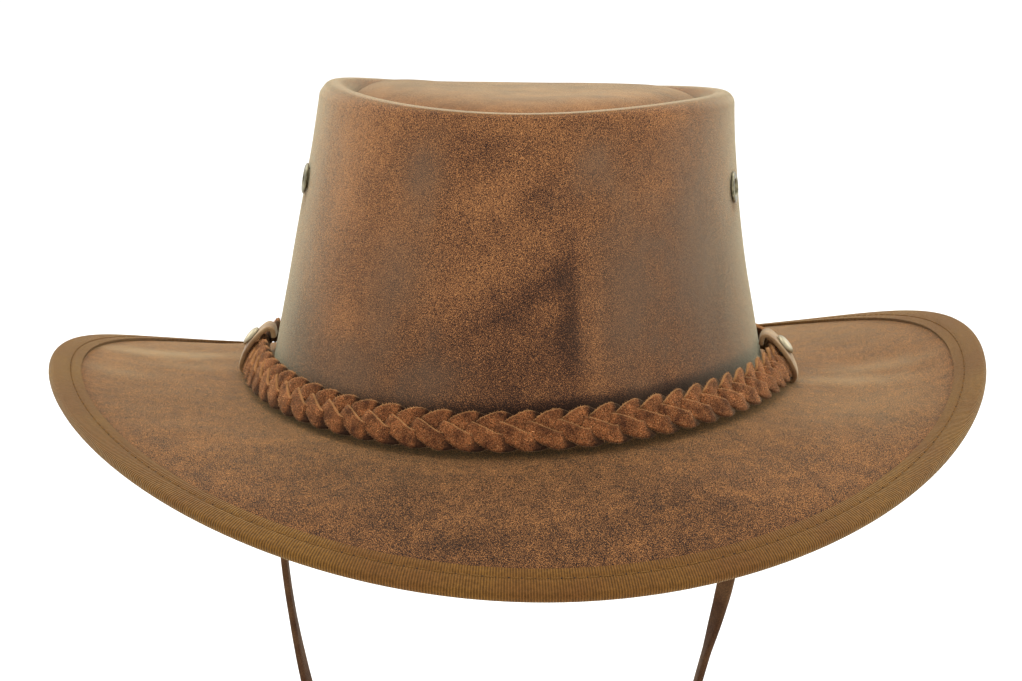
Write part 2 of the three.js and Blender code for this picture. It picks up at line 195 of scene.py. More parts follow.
def brim(turn, distance, lift=0.0):
    """The brim's top face: distance out from the foot, and lift off the face."""
    slope = np.radians(form("slope", turn))
    half = np.radians(form("curl", turn)) / BRIM_WIDTH * distance / 2
    straight = np.abs(half) < 1e-9
    chord = distance * np.where(straight, 1.0, np.sin(half) / np.where(straight, 1.0, half))
    out = chord * np.cos(slope + half) - lift * np.sin(slope + 2 * half)
    rise = chord * np.sin(slope + half) + lift * np.cos(slope + 2 * half)
    level = outward(FOOT_HALF_WIDTH, FOOT_HALF_LENGTH, turn)
    return foot(turn) + level * out[..., None] + stack(0.0, 0.0, rise)


print("front rim height, mm:", round(float(rim(math.radians(270))[2]), 1))

# %% [markdown]
# ## Tools for soft pieces
# Almost every piece here is a strip or a sheet that runs round the hat or along a line.
# One helper joins rows of points into a closed skin, and another gives a sheet its second
# face and its cut edge. Faces are turned outwards by the sign of the volume they enclose.

# %% Skins, sheets and strips
def smooth_rows(control, steps):
    """A Catmull-Rom curve through the points of each row, with steps pieces a span."""
    first = 2 * control[..., :1, :] - control[..., 1:2, :]
    last = 2 * control[..., -1:, :] - control[..., -2:-1, :]
    padded = np.concatenate([first, control, last], axis=-2)
    spans = []
    for k in range(control.shape[-2] - 1):
        a, b, c, d = (padded[..., k + n:k + n + 1, :] for n in range(4))
        t = (np.arange(steps) / steps)[:, None]
        spans.append(0.5 * (2 * b + (c - a) * t + (2 * a - 5 * b + 4 * c - d) * t**2
                            + (3 * b - a - 3 * c + d) * t**3))
    return np.concatenate([*spans, control[..., -1:, :]], axis=-2)


def enclosed(points, faces):
    """The volume inside a closed skin of quads, negative when it is inside out."""
    a, b, c, d = (points[faces[:, n]] for n in range(4))
    return float((np.cross(a, b) * c).sum() + (np.cross(a, c) * d).sum()) / 6


def skin(name, loops, closed=True, poles=False, marks=None):
    """A closed skin over loops[around, along].

    A strip that isn't closed round gets a flat cap at each end. With poles, the first and
    last points of every loop are rings round the axis, and each is closed by a flat face.
    """
    around, rows = loops.shape[:2]
    points = loops.reshape(-1, 3) * MM
    turns = around if closed else around - 1
    spans = rows - 1 if poles else rows
    i, j = np.meshgrid(np.arange(turns), np.arange(spans), indexing="ij")
    here, there = i * rows, (i + 1) % around * rows
    after = (j + 1) % rows
    quads = np.stack([here + j, there + j, there + after, here + after], axis=-1)
    quads = quads.reshape(-1, 4)
    caps = []
    if poles:
        caps = [[n * rows for n in reversed(range(around))],
                [n * rows + rows - 1 for n in range(around)]]
    elif not closed:
        caps = [list(reversed(range(rows))), [(around - 1) * rows + n for n in range(rows)]]
    flipped = enclosed(points, quads) < 0
    faces = [quad.tolist() for quad in quads] + caps
    if flipped:
        faces = [face[::-1] for face in faces]
    mesh = bpy.data.meshes.new(name)
    mesh.from_pydata([tuple(p) for p in points], [], faces)
    span = np.stack([i, i + 1, i + 1, i], axis=-1).reshape(-1, 4)
    cross = np.stack([j, j, j + 1, j + 1], axis=-1).reshape(-1, 4)
    if flipped:
        span, cross = span[:, ::-1], cross[:, ::-1]
    places = np.zeros((len(mesh.loops), 2))
    places[:quads.size, 0] = span.ravel() / turns
    places[:quads.size, 1] = cross.ravel() / spans
    mesh.uv_layers.new(name="along").data.foreach_set("uv", places.ravel())
    for mark, values in (marks or {}).items():
        layer = mesh.attributes.new(mark, "FLOAT", "POINT")
        layer.data.foreach_set("value", np.broadcast_to(values, (around, rows)).ravel())
    mesh.shade_smooth()
    mesh.set_sharp_from_angle(angle=math.radians(50))
    return put(name, mesh)


def sheet_normals(face, side):
    """Unit normals of a face that closes round the hat."""
    around = np.roll(face, -1, 0) - np.roll(face, 1, 0)
    return side * unit(np.cross(around, np.gradient(face, axis=1)))


EDGE_ROUND = ((0.1, 0.5), (0.3, 0.95), (0.7, 0.95), (0.9, 0.5))


def leather_loops(face, thickness, side, rounding=0.25):
    """A sheet's face, its outer cut edge, its back and its inner cut edge, as one loop."""
    back = face - sheet_normals(face, side) * thickness

    def cut(row, neighbour):
        beyond = unit(face[:, row] - face[:, neighbour])
        through = back[:, row] - face[:, row]
        return np.stack([face[:, row] + through * s + beyond * p * rounding
                         for s, p in EDGE_ROUND], axis=1)

    return np.concatenate([face, cut(-1, -2), back[:, ::-1], cut(0, 1)[:, ::-1]], axis=1)


def sheet_marks(values):
    """One value for each point of leather_loops, from the values of its face."""
    ends = len(EDGE_ROUND)
    far = np.repeat(values[:, -1:], ends, axis=1)
    near = np.repeat(values[:, :1], ends, axis=1)
    return np.concatenate([values, far, values[:, ::-1], near], axis=1)


def flesh_marks(face):
    """0 on a sheet's face, 1 on its back and 0.7 on its cut edges."""
    return np.repeat([0, 0.7, 1, 0.7], [face.shape[1], len(EDGE_ROUND)] * 2)[None, :]


def relief(points, terms):
    """Soft unevenness at each point: the sum of noises, each of a size and height in mm."""
    flat = points.reshape(-1, 3)
    height = np.zeros(len(flat))
    for size, amount, shift in terms:
        height += [amount * noise.noise(Vector(p / size + shift)) for p in flat]
    return height.reshape(points.shape[:-1])


def rounded_strip(centre, across, out, width, thickness, corners=24, squareness=3.0):
    """Loops of a strip with a rounded section. width and thickness may change along it."""
    angle = np.arange(corners) * 2 * math.pi / corners
    side = np.sign(np.cos(angle)) * np.abs(np.cos(angle)) ** (2 / squareness)
    up = np.sign(np.sin(angle)) * np.abs(np.sin(angle)) ** (2 / squareness)
    half_wide = np.broadcast_to(width, centre.shape[:1])[:, None] / 2
    half_thick = np.broadcast_to(thickness, centre.shape[:1])[:, None] / 2
    sideways = across[:, None, :] * (half_wide * side)[..., None]
    upwards = out[:, None, :] * (half_thick * up)[..., None]
    return centre[:, None, :] + sideways + upwards


def turned_ring(profile, seat, out, segments=56):
    """Loops of a turned piece: a profile of (radius, height) round an axis."""
    side = unit(np.cross(out, (0.0, 0.0, 1.0)))
    other = np.cross(out, side)
    angle = np.arange(segments) * 2 * math.pi / segments
    level = np.cos(angle)[:, None] * side + np.sin(angle)[:, None] * other
    radius, height = profile[:, 0], profile[:, 1]
    return seat + level[:, None, :] * radius[None, :, None] + out * height[None, :, None]


def finish_piece(piece, material, slot, *nodes):
    """Gives a piece its material and says what it rides on and stands for."""
    piece.data.materials.clear()
    piece.data.materials.append(material)
    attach(piece, "root")
    if nodes:
        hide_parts(*nodes)
    print(piece.name, len(piece.data.polygons), "faces")


# %% [markdown]
# ## Helpers for materials
# Every colour is written as the hex value that a paint program shows, and one function
# turns it into the linear light that the renderer mixes. One more function adds a node.

# %% Colours and nodes
def colour(code):
    """An sRGB hex colour as linear RGBA."""
    parts = [int(code[n:n + 2], 16) / 255 for n in (1, 3, 5)]
    linear = [p / 12.92 if p <= 0.04045 else ((p + 0.055) / 1.055) ** 2.4 for p in parts]
    return (*linear, 1.0)


def add(tree, kind, inputs=None, **settings):
    """One node, with its settings, its values and its links."""
    made = tree.nodes.new(kind)
    for name, value in settings.items():
        setattr(made, name, value)
    for name, value in (inputs or {}).items():
        if isinstance(value, bpy.types.NodeSocket):
            tree.links.new(value, made.inputs[name])
        else:
            made.inputs[name].default_value = value
    return made


def new_material(name, **surface):
    """A material whose fixed values are set on the Principled shader, and its object place."""
    material = bpy.data.materials.new(name)
    material.use_nodes = True
    tree = material.node_tree
    for socket, value in surface.items():
        fixed = colour(value) if isinstance(value, str) else value
        tree.nodes["Principled BSDF"].inputs[socket.replace("_", " ")].default_value = fixed
    return material, tree, add(tree, "ShaderNodeTexCoord").outputs["Object"]


def paint(material, tone, normal=None, roughness=None):
    """Links a material's colour, and its bump and uneven roughness where it has them."""
    tree = material.node_tree
    for name, value in (("Base Color", tone), ("Normal", normal), ("Roughness", roughness)):
        if value is not None:
            tree.links.new(value, tree.nodes["Principled BSDF"].inputs[name])
    return material


def speckle(tree, place, size, detail=2.0, rough=0.5):
    """Noise whose grains are about size millimetres across."""
    return add(tree, "ShaderNodeTexNoise", {
        "Vector": place, "Scale": 1 / (size * MM), "Detail": detail, "Roughness": rough,
    }).outputs["Fac"]


def between(tree, value, new_low=0.0, new_high=1.0, low=0.3, high=0.7):
    """Stretches one range of a value, a noise's usual one, onto another."""
    return add(tree, "ShaderNodeMapRange", {
        "Value": value, "From Min": low, "From Max": high, "To Min": new_low, "To Max": new_high,
    }).outputs["Result"]


def combine(tree, operation, first, second):
    return add(tree, "ShaderNodeMath", {0: first, 1: second}, operation=operation).outputs[0]


def mixed(tree, share, first, second, how="MIX"):
    """Two colours mixed by a share."""
    return add(tree, "ShaderNodeMix", {0: share, 6: first, 7: second},
               data_type="RGBA", blend_type=how).outputs[2]

def clouded(tree, field, dark, light, edge=0.35):
    """A dark colour where a noise is low and a light one where it is high."""
    share = between(tree, field, low=edge, high=1 - edge)
    return mixed(tree, share, colour(dark), colour(light))


def tinted(tree, base, field, low, high):
    """A colour made darker and lighter by a noise."""
    scale = between(tree, field, low, high)
    return add(tree, "ShaderNodeVectorMath", {0: base, "Scale": scale}, operation="SCALE").outputs[0]


def bumped(tree, height, distance, strength, normal=None):
    """A bump whose full height is distance millimetres."""
    inputs = {"Height": height, "Distance": distance * MM, "Strength": strength}
    if normal is not None:
        inputs["Normal"] = normal
    return add(tree, "ShaderNodeBump", inputs).outputs["Normal"]


def mark(tree, name):
    return add(tree, "ShaderNodeAttribute", attribute_name=name).outputs["Fac"]


print("white is", colour("#ffffff"))

# %% [markdown]
# ## The chin lace
# The lace is one flat thong of dark leather, about 6 mm wide, that hangs from inside the
# crown, runs under the chin and comes up on the other side. It is a mesh strip, not a round
# curve, and carries a twist, because it shows its flat on one side and its edge on the other.

# %% The lace's leather
# Chrome tanned thong, split and dyed through: matt, dark and slightly fibrous.
material, tree, place = new_material(
    "dark split leather thong", Roughness=0.78, Specular_IOR_Level=0.15,
    Sheen_Weight=0.12, Sheen_Roughness=0.4, Sheen_Tint="#f0dcb8")
# Fibre clumps of a split are about 0.5 mm, and the dye is uneven over some 9 mm.
fibre = speckle(tree, place, 0.5, 3.0, 0.6)
dyed = clouded(tree, speckle(tree, place, 9.0), "#4a301d", "#60442b")
thong = paint(material, tinted(tree, dyed, fibre, 0.62, 1.4), bumped(tree, fibre, 0.3, 0.6))

# %% The lace
LACE_WIDTH = 6.0
LACE_THICKNESS = 2.4
TAB_WIDTH = 12.0
TAB_LEATHER = 1.8
TAB_HEIGHT = 17.0
TAB_DROP = 4.0
TAB_HOLLOW = TAB_WIDTH**2 * FOOT_HALF_WIDTH / (8 * FOOT_HALF_LENGTH**2)
LACE_ROUTE = np.array([
    (-81.2, 0, -36), (-81, 0, -70), (-74, 0, -113), (-62.6, -1, -152), (-48, -2, -190),
    (-32, -3, -222), (-15, -3, -241), (2, -3, -247), (18, -3, -238), (32, -2, -215),
    (44, -1, -182), (54, 0, -146), (62, 0, -112), (71.4, 0, -75), (77.5, 0, -38),
], float)
# How far the flat is turned from facing the front, in degrees, at shares of the length.
LACE_TWIST = ((0, 80), (0.1, 90), (0.16, 90), (0.21, 72), (0.3, 50), (0.5, 20), (0.62, 40),
              (0.74, 84), (0.82, 78), (0.875, 22), (0.93, 8), (1, 60))
LACE_SPAN_STEPS = 14


def tab_back(turn):
    """How far the tab's back stands from the foot, in the plane of the turn."""
    level = outward(FOOT_HALF_WIDTH, FOOT_HALF_LENGTH, turn)
    inside = (brim(turn, -LEATHER, -BRIM_LEATHER) - foot(turn)) @ level
    return min(-LEATHER, float(inside)) - TAB_HOLLOW - GAP


def lace_end(turn):
    """The middle of the tab's lower edge, where the lace starts."""
    level = outward(FOOT_HALF_WIDTH, FOOT_HALF_LENGTH, turn)
    hung = foot(turn) + level * (tab_back(turn) - TAB_LEATHER / 2)
    return hung - stack(0.0, 0.0, TAB_DROP + GAP)


lace_right = lace_end(np.float64(math.pi))
lace_points = np.vstack([lace_right, LACE_ROUTE, lace_end(np.float64(0.0))])
lace_path = smooth_rows(lace_points[None], LACE_SPAN_STEPS)[0]
lace_steps = np.linalg.norm(np.diff(lace_path, axis=0), axis=1)
lace_length = float(lace_steps.sum())
lace_share = np.concatenate([[0.0], np.cumsum(lace_steps)]) / lace_length
lace_turned = np.radians(np.interp(lace_share, *zip(*LACE_TWIST)))[:, None]
lace_along = unit(np.gradient(lace_path, axis=0))
lace_side = unit(np.cross(lace_along, (0.0, -1.0, 0.0)))
lace_front = np.cross(lace_side, lace_along)
lace_wide = lace_side * np.cos(lace_turned) + lace_front * np.sin(lace_turned)
lace_flat = np.cross(lace_along, lace_wide)
# A hand cut thong is never quite even: its width wanders by a few tenths of a millimetre.
lace_even = 1 + relief(lace_path, ((14.0, 0.06, 3.0), (4.0, 0.03, 8.0)))
lace = skin("lace_thong", rounded_strip(
    lace_path, lace_wide, lace_flat, LACE_WIDTH * lace_even, LACE_THICKNESS,
    corners=20, squareness=4.0), closed=False)
finish_piece(lace, thong, "lace", "chin_lace")
print("lace", round(lace_length), "mm long")

# %% [markdown]
# ## Oiled nubuck leather
# Crown and brim are heavy cowhide that was buffed and filled with oil and wax. The oil makes
# it dark, and wherever the hide was bent, rubbed or stretched the oil moved away and left a
# lighter orange brown. Seen along its face the fine nap catches the light and turns pale.
# So the colour follows a tone that is laid on the mesh, broken up by noise at three scales,
# and the pale nap is sheen on the shader, which keeps its place from every side. On the
# brim's wings pale streaks of painted sheen are laid in the colour as well.

# %% Oiled nubuck
CROWN_SHADES = ((0.0, "#2d1d15"), (0.2, "#463026"), (0.35, "#573b2b"), (0.5, "#6e4930"),
                (0.65, "#895837"), (0.8, "#9f693f"), (1.0, "#bd8552"))
BRIM_SHADES = ((0.0, "#24160e"), (0.2, "#3d281a"), (0.35, "#4f3421"), (0.5, "#634028"),
               (0.65, "#7a4b2a"), (0.8, "#905c34"), (1.0, "#b27b48"))
TIP_SHADES = ((0.0, "#422c1c"), (0.2, "#543b27"), (0.35, "#65472f"), (0.5, "#765438"),
              (0.65, "#886242"), (0.8, "#98714d"), (1.0, "#ab865c"))


def oiled_nubuck(name, shades, grain_strength, mottle_strength, sheen, pale, rubbed_and_lit):
    """Pull up leather: dark where the oil sits, orange where it was drawn away."""
    material, tree, place = new_material(
        name, Roughness=0.7, Specular_IOR_Level=0.1,
        Sheen_Weight=sheen, Sheen_Roughness=0.34, Sheen_Tint=pale)
    # Clouds of oil are some 40 mm wide, and the crackled mottling inside them is 5 mm.
    cloud = speckle(tree, place, 40.0, 3.0)
    mottle = speckle(tree, place, 5.0, 5.0, 0.68)
    # The nap's own grain is near 0.2 mm, drawn here at 0.22 mm so that it still shows.
    grain = speckle(tree, place, 0.22, 0.0)
    tone = mark(tree, "tone")
    for part in (between(tree, cloud, -0.15, 0.15),
                 between(tree, mottle, -mottle_strength, mottle_strength),
                 between(tree, grain, -grain_strength, grain_strength, 0.25, 0.75)):
        tone = combine(tree, "ADD", tone, part)
    ramp = add(tree, "ShaderNodeValToRGB", {"Fac": between(tree, tone, low=-1.6, high=1.6)})
    while len(ramp.color_ramp.elements) < len(shades):
        ramp.color_ramp.elements.new(0.5)
    for element, (at, code) in zip(ramp.color_ramp.elements, shades):
        element.position = at
        element.color = colour(code)
    # Where wax lies on the nap it greys the colour.
    greyed = mixed(tree, mark(tree, "wax"), ramp.outputs["Color"], colour("#715c49"))
    # The wear mark pales the colour: real rubbing on the crown's crest and the tip, and painted sheen
    # on the brim's wings.
    worn_and_lit = mixed(tree, mark(tree, "wear_and_sheen"), greyed, colour(rubbed_and_lit))
    # The flesh side is rough, paler and not oiled.
    inside = clouded(tree, grain, "#5d4432", "#8d6c4d", 0.3)
    whole = mixed(tree, mark(tree, "flesh"), worn_and_lit, inside)
    crackle = bumped(tree, speckle(tree, place, 3.0), 0.3, 0.2, bumped(tree, grain, 0.2, 0.5))
    return paint(material, whole, crackle, between(tree, mottle, 0.62, 0.78))


crown_leather = oiled_nubuck(
    "oiled nubuck of the crown", CROWN_SHADES, 2.1, 0.26, 0.88, "#eae8c4", "#b17c40")
tip_leather = oiled_nubuck(
    "oiled nubuck of the tip", TIP_SHADES, 1.7, 0.3, 0.54, "#efe0b6", "#a66a33")
# On the brim the rubbed colour is the cream of painted sheen on its wings.
brim_leather = oiled_nubuck(
    "oiled nubuck of the brim", BRIM_SHADES, 3.9, 0.9, 0.43, "#f2dba0", "#b9a27a")
print(crown_leather.name)

# %% [markdown]
# ## Where the leather is light and dark
# The hide's pull up marks are part of this hat: a dark patch low in front with a sharp crease
# beside it, orange patches on the crown's upper left and middle, and streaks on the brim.
# Each is one line in a list, as a soft patch of a size in millimetres, and noise frays it.

# %% Patches of tone
# turn, height on the crown, half width in degrees, half height in mm, lean, strength
CROWN_PATCHES = (
    (220, 91, 12, 9, 0.25, 0.6),
    (221, 72, 6, 8, 0.26, 0.6),
    (246, 87, 4, 5, 0.12, -0.1),
    (262, 91, 6, 5, 0.0, -0.3),
    (270, 100, 10, 3, 0.0, 0.4),
    (267, 79, 8, 5, 0.45, 0.55),
    (282, 81, 5, 7, -0.1, -0.25),
    (308, 74, 8, 6, -0.2, 0.35),
    (314, 97, 8, 4, -0.2, 0.5),
    (265, 39, 9, 4, 0.75, -0.45),
    (258, 52, 9, 5, 0.5, 0.35),
    (291, 28, 1.4, 16, 0.0, 0.4),
    (275, 77, 4, 6, 0.0, -0.5),
    (330, 42, 14, 26, 0.0, -0.65),
    (205, 22, 12, 12, 0.0, -0.7),
    (236, 66, 6, 10, 0.2, -0.1),
    (228, 33, 8, 7, 0.27, 0.55),
    (242, 59, 7, 10, 0.16, 0.25),
    (238, 42, 5, 6, 0.22, -0.1),
    (240, 72, 5, 7, 0.2, 0.35),
    (262, 22, 16, 9, 0.05, -0.3),
    (299, 42, 9, 16, -0.2, -0.1),
    (321, 27, 12, 10, -0.3, -0.15),
    (20, 60, 12, 20, 0.2, 0.4),
    (62, 40, 16, 14, -0.4, -0.5),
    (95, 70, 14, 12, 0.3, 0.5),
    (130, 30, 14, 10, 0.2, -0.4),
    (160, 66, 10, 16, 0.0, 0.35),
)
# The dark patch ends at a crease that runs nearly upright on the front of the crown.
DARK_PATCHES = (
    (285.5, 38, 3.5, 15, 0.0, -1.25),
    (279, 51, 8, 6, 0.8, -0.85),
    (274, 26, 12, 14, 0.5, -0.5),
    (281, 43, 2.5, 4, 0.0, 0.4),
)
# Wax that lies on the nap, in the same terms, with the share of grey as its strength.
CROWN_WAX = (
    (300, 45, 8, 26, 0.0, 0.55),
    (246, 84, 5, 9, 0.1, 0.5),
    (241, 50, 7, 14, 0.3, 0.45),
    (322, 52, 11, 30, 0.0, 0.6),
    (232, 18, 9, 10, 0.2, 0.5),
    (291, 86, 5, 7, 0.2, 0.45),
    (252, 20, 7, 8, 0.2, 0.4),
    (60, 55, 20, 22, 0.2, 0.35),
    (140, 60, 22, 20, -0.2, 0.35),
)
CREASE_TURN = 288.0
CREASE_SOFT = 0.5


def patch_field(turn, height, patches, fray):
    """The sum of soft patches over turns in degrees and heights in mm."""
    total = np.zeros_like(height)
    for at, up, half_turn, half_up, lean, strength in patches:
        away = (turn - at + 180) % 360 - 180
        level = height - up - lean * away
        distance = (away / half_turn) ** 2 + (level / half_up) ** 2
        total += strength * np.exp(-0.7 * distance * (1 + fray))
    return total


# x, y on the brim, half length, half depth, turn in degrees, strength
BRIM_PATCHES = (
    (-7, -119, 19, 3, 1, 0.5),
    (-11, -144, 7, 2.5, 11, 0.6),
    (-8, -153, 10, 4, 3, -0.7),
    (32, -135, 9, 3, 2, 0.45),
    (14, -140, 6, 3, 6, 0.4),
    (56, -108, 5, 3, 8, 0.5),
    (42, -138, 8, 4, 14, -0.5),
    (53, -125, 6, 6, 15, -0.4),
    (67, -130, 8, 6, 14, -0.4),
    (59, -145, 6, 4, 13, -0.5),
    (79, -116, 6, 4, 19, 0.4),
    (-90, -92, 14, 8, 20, 0.5),
    (-53, -93, 12, 6, -22, 0.4),
    (-52, -117, 9, 10, -4, -0.5),
    (-30, -132, 8, 12, -3, -0.6),
    (-82, -125, 8, 9, -1, 0.4),
    (-110, -97, 8, 6, 14, -0.25),
    (-138, 1, 7, 9, 48, 0.4),
    (109, -90, 12, 8, 45, 0.35),
    (90, -92, 7, 8, 20, -0.3),
    (120, -52, 10, 14, -1, -0.2),
    (30, 130, 26, 10, -10, 0.5),
    (-60, 118, 22, 12, 20, -0.5),
    (110, 70, 12, 22, 20, -0.35),
)


# Painted sheen: pale streaks on the brim's wings, where the nap would catch the light, in the same
# terms, with the share of pale as their strength.
BRIM_PAINTED_SHEEN = (
    (110, -3, 16, 6, -15, 0.28),
    (122, 14, 16, 6, 0, 0.2),
    (118, -34, 24, 18, 0, 0.12),
    (-125, 22, 24, 7, 4, 0.36),
    (-112, 2, 14, 5, 0, 0.15),
    (-134, -20, 10, 6, 0, 0.15),
)


def plan_field(points, patches, fray):
    """The sum of soft patches over the brim, seen from above."""
    total = np.zeros(points.shape[:-1])
    for x, y, half_long, half_deep, tilt, strength in patches:
        cosine, sine = math.cos(math.radians(tilt)), math.sin(math.radians(tilt))
        east, north = points[..., 0] - x, points[..., 1] - y
        along = (east * cosine + north * sine) / half_long
        deep = (north * cosine - east * sine) / half_deep
        total += strength * np.exp(-0.7 * (along**2 + deep**2) * (1 + fray))
    return total


print(len(CROWN_PATCHES) + len(BRIM_PATCHES), "patches")

# %% [markdown]
# ## The crown's side
# The real piece is one band of 2 mm leather, blocked while wet, whose upper edge is rolled
# over and goes down into the gutter round the tip. It could be an extruded oval, but its rim
# rises and falls, so it is a grid of points: the wall's formula up to the roll, then an arc,
# then the short drop into the gutter. The second face is the first one moved by 2 mm.

# %% The crown's side
AROUND = 576
TURNS = np.arange(AROUND) * 2 * math.pi / AROUND
WALL_RISES = (0, 0.06, 0.11, 0.2, 0.3, 0.4, 0.5, 0.6, 0.7, 0.79, 0.87, 0.925, 0.962)
CROWN_SPAN_STEPS = 4
# The block leaves a tight corner in front, where the rim is stretched, and a softer one elsewhere.
CORNER_FRONT = 2.2
CORNER_SIDE = 3.8
ROLL_CREST_ROW = 14.2
# The band shades the wall above it most at this turn, and at this height in mm.
SHADE_TURN = math.radians(303)
SHADE_HEIGHT = 11.5


def roll_point(turn, degrees, radius):
    """A place on an arc of the roll, which starts a radius in and a radius down."""
    angle = math.radians(degrees)
    return rim_point(turn, radius + radius * math.cos(angle), radius - radius * math.sin(angle))


corner = CORNER_SIDE + (CORNER_FRONT - CORNER_SIDE) * np.clip(-np.sin(TURNS), 0, 1) ** 2
crown_rows = [
    brim(TURNS, 0.0, GAP),
    *[wall(TURNS, rise) for rise in WALL_RISES[1:]],
    *[roll_point(TURNS, degrees, corner) for degrees in (155, 125, 95)],
    *[roll_point(TURNS, degrees, RIM_ROLL) for degrees in (65, 30, 0)],
    rim_point(TURNS, 2 * RIM_ROLL, GUTTER_DEPTH),
]
crown_face = smooth_rows(np.stack(crown_rows, axis=1), CROWN_SPAN_STEPS)
# Blocked leather keeps soft swells: 0.5 mm high over 45 mm, and finer ones of 0.12 mm.
crown_swell = relief(crown_face, ((45.0, 0.55, 11.0), (16.0, 0.14, 5.0)))
wall_share = np.clip(np.arange(crown_face.shape[1]) / (12 * CROWN_SPAN_STEPS), 0, 1)
crown_swell *= np.sin(np.minimum(wall_share, 0.92) * math.pi) ** 0.5 * (wall_share < 1)
crown_face = crown_face + sheet_normals(crown_face, 1) * crown_swell[..., None]

crown_height = crown_face[..., 2] - foot(TURNS)[:, None, 2]
crown_turn = np.degrees(TURNS)[:, None]
crown_fray = relief(crown_face, ((9.0, 0.5, 31.0), (3.5, 0.35, 17.0)))
crown_tone = patch_field(crown_turn, crown_height, CROWN_PATCHES, crown_fray)
crease_side = 1 / (1 + np.exp((crown_turn + 0.03 * crown_height - CREASE_TURN) / CREASE_SOFT))
crown_tone += patch_field(crown_turn, crown_height, DARK_PATCHES, crown_fray) * crease_side
crown_wax = np.clip(patch_field(crown_turn, crown_height, CROWN_WAX, crown_fray), 0, 0.6)
# The roll's crest is rubbed pale, and the wall darkens a little towards the band.
row = np.arange(crown_face.shape[1]) / CROWN_SPAN_STEPS
crest = np.exp(-((row - ROLL_CREST_ROW) / 0.5) ** 2)[None, :]
crown_wear = np.clip(crest * (0.2 + 0.3 * crown_fray), 0, 1)
crown_tone -= 0.7 * crest
crown_tone += 0.25 * (crown_height / CROWN_HEIGHT - 0.35) - 0.12
# Just above the band the wall is painted darkest: painted shade, where little light comes.
painted_band_shade = 0.1 + 0.9 * np.clip(np.cos(TURNS - SHADE_TURN), 0, 1)[:, None] ** 2
crown_tone -= 2.4 * painted_band_shade * np.exp(-((crown_height - SHADE_HEIGHT) / 2.3) ** 2)

crown_side = skin("crown_side_leather", leather_loops(crown_face, LEATHER, 1), marks={
    "tone": sheet_marks(crown_tone), "wear_and_sheen": sheet_marks(crown_wear),
    "wax": sheet_marks(crown_wax), "flesh": flesh_marks(crown_face),
})
print("crown side", len(crown_side.data.vertices), "points")

# %% [markdown]
# ## The vent holes
# A punch makes each hole before the eyelet is set in it. A Boolean modifier cuts them here,
# because the eyelet's flange covers the cut and the barrel lines it.

# %% The vent holes
EYELET_RISE = 0.685
EYELET_TURN = -12.5
EYELET_RADIUS = 5.2
EYELET_BORE = 2.6
EYELET_WALL = 0.7
EYELET_FLANGE = 0.9


def side_turns(degrees):
    """The same place on the wearer's left and right, as turns in radians."""
    return {"left": math.radians(degrees), "right": math.pi - math.radians(degrees)}


def eyelet_seat(turn):
    """Where the eyelet's axis meets the outer face, and the way out."""
    above = wall(turn, EYELET_RISE + 0.05) - wall(turn, EYELET_RISE - 0.05)
    level = wall(turn + 0.02, EYELET_RISE) - wall(turn - 0.02, EYELET_RISE)
    return wall(turn, EYELET_RISE), unit(np.cross(level, above))


def punch(turn):
    """A closed rod through the leather, as wide as the eyelet's barrel."""
    seat, out = eyelet_seat(turn)
    radius = EYELET_BORE + EYELET_WALL + 0.1
    rod = np.array([(radius, -9.0), (radius, 7.0)])
    return skin("punch", turned_ring(rod, seat, out, 32), poles=True)


def applied(piece):
    """A piece's evaluated mesh as a plain mesh, with its modifiers removed."""
    evaluated = piece.evaluated_get(bpy.context.evaluated_depsgraph_get())
    plain = bpy.data.meshes.new_from_object(evaluated)
    piece.modifiers.clear()
    piece.data = plain
    return piece


for turn in side_turns(EYELET_TURN).values():
    rod = punch(turn)
    cut = crown_side.modifiers.new("vent", "BOOLEAN")
    cut.object = rod
    cut.operation = "DIFFERENCE"
    applied(crown_side)
    bpy.data.objects.remove(rod)
finish_piece(crown_side, crown_leather, "crown_leather", "crown_side")

# %% [markdown]
# ## The crown's tip
# The tip is an oval of the same leather, let in below the rim and puffed up by the block.
# Rings of points run from its middle to the gutter and a little way under the rolled rim.

# %% The crown's tip
TIP_DOME = 9.5
TIP_DOME_POWER = 8
TIP_AROUND = 288
TIP_TURNS = np.arange(TIP_AROUND) * 2 * math.pi / TIP_AROUND
TIP_RINGS = 40


def tip_edge(turn):
    return rim_point(turn, 2 * RIM_ROLL + GAP, GUTTER_DEPTH + GAP)


tip_back = tip_edge(math.pi / 2)
tip_front = tip_edge(-math.pi / 2)
TIP_TILT = (tip_back[2] - tip_front[2]) / (tip_back[1] - tip_front[1])
TIP_LEVEL = (tip_back[2] + tip_front[2]) / 2


def tip_point(turn, share):
    edge = tip_edge(turn)
    x = CROWN_LEAN + (edge[..., 0] - CROWN_LEAN) * share
    y = edge[..., 1] * share
    warp = edge[..., 2] - TIP_LEVEL - TIP_TILT * edge[..., 1]
    dome = TIP_DOME * (1 - share**TIP_DOME_POWER)
    return stack(x, y, TIP_LEVEL + TIP_TILT * y + warp * share**2 + dome)


tip_shares = np.linspace(0.0004, 1, TIP_RINGS) ** 0.7
tip_rings = [tip_point(TIP_TURNS, share) for share in tip_shares]
tip_rings += [rim_point(TIP_TURNS, 2 * RIM_ROLL - LEATHER * s, GUTTER_DEPTH + GAP) for s in (0.5, 1.0)]
tip_face = np.stack(tip_rings, axis=1)
tip_swell = relief(tip_face, ((38.0, 0.6, 21.0), (14.0, 0.15, 4.0)))
tip_swell[:, -6:] *= np.linspace(0.6, 0, 6)
tip_face[..., 2] += tip_swell
tip_under = tip_face - stack(0.0, 0.0, LEATHER)
tip_fray = relief(tip_face, ((14.0, 1.0, 41.0), (5.0, 0.6, 12.0)))
tip_tone = -0.1 + 0.7 * tip_fray
tip_wear = np.clip((-tip_face[..., 1] - 10) / 200 + 0.15 * tip_fray, 0, 0.3)


def both_faces(upper, lower):
    return np.concatenate([upper, lower[:, ::-1]], axis=1)


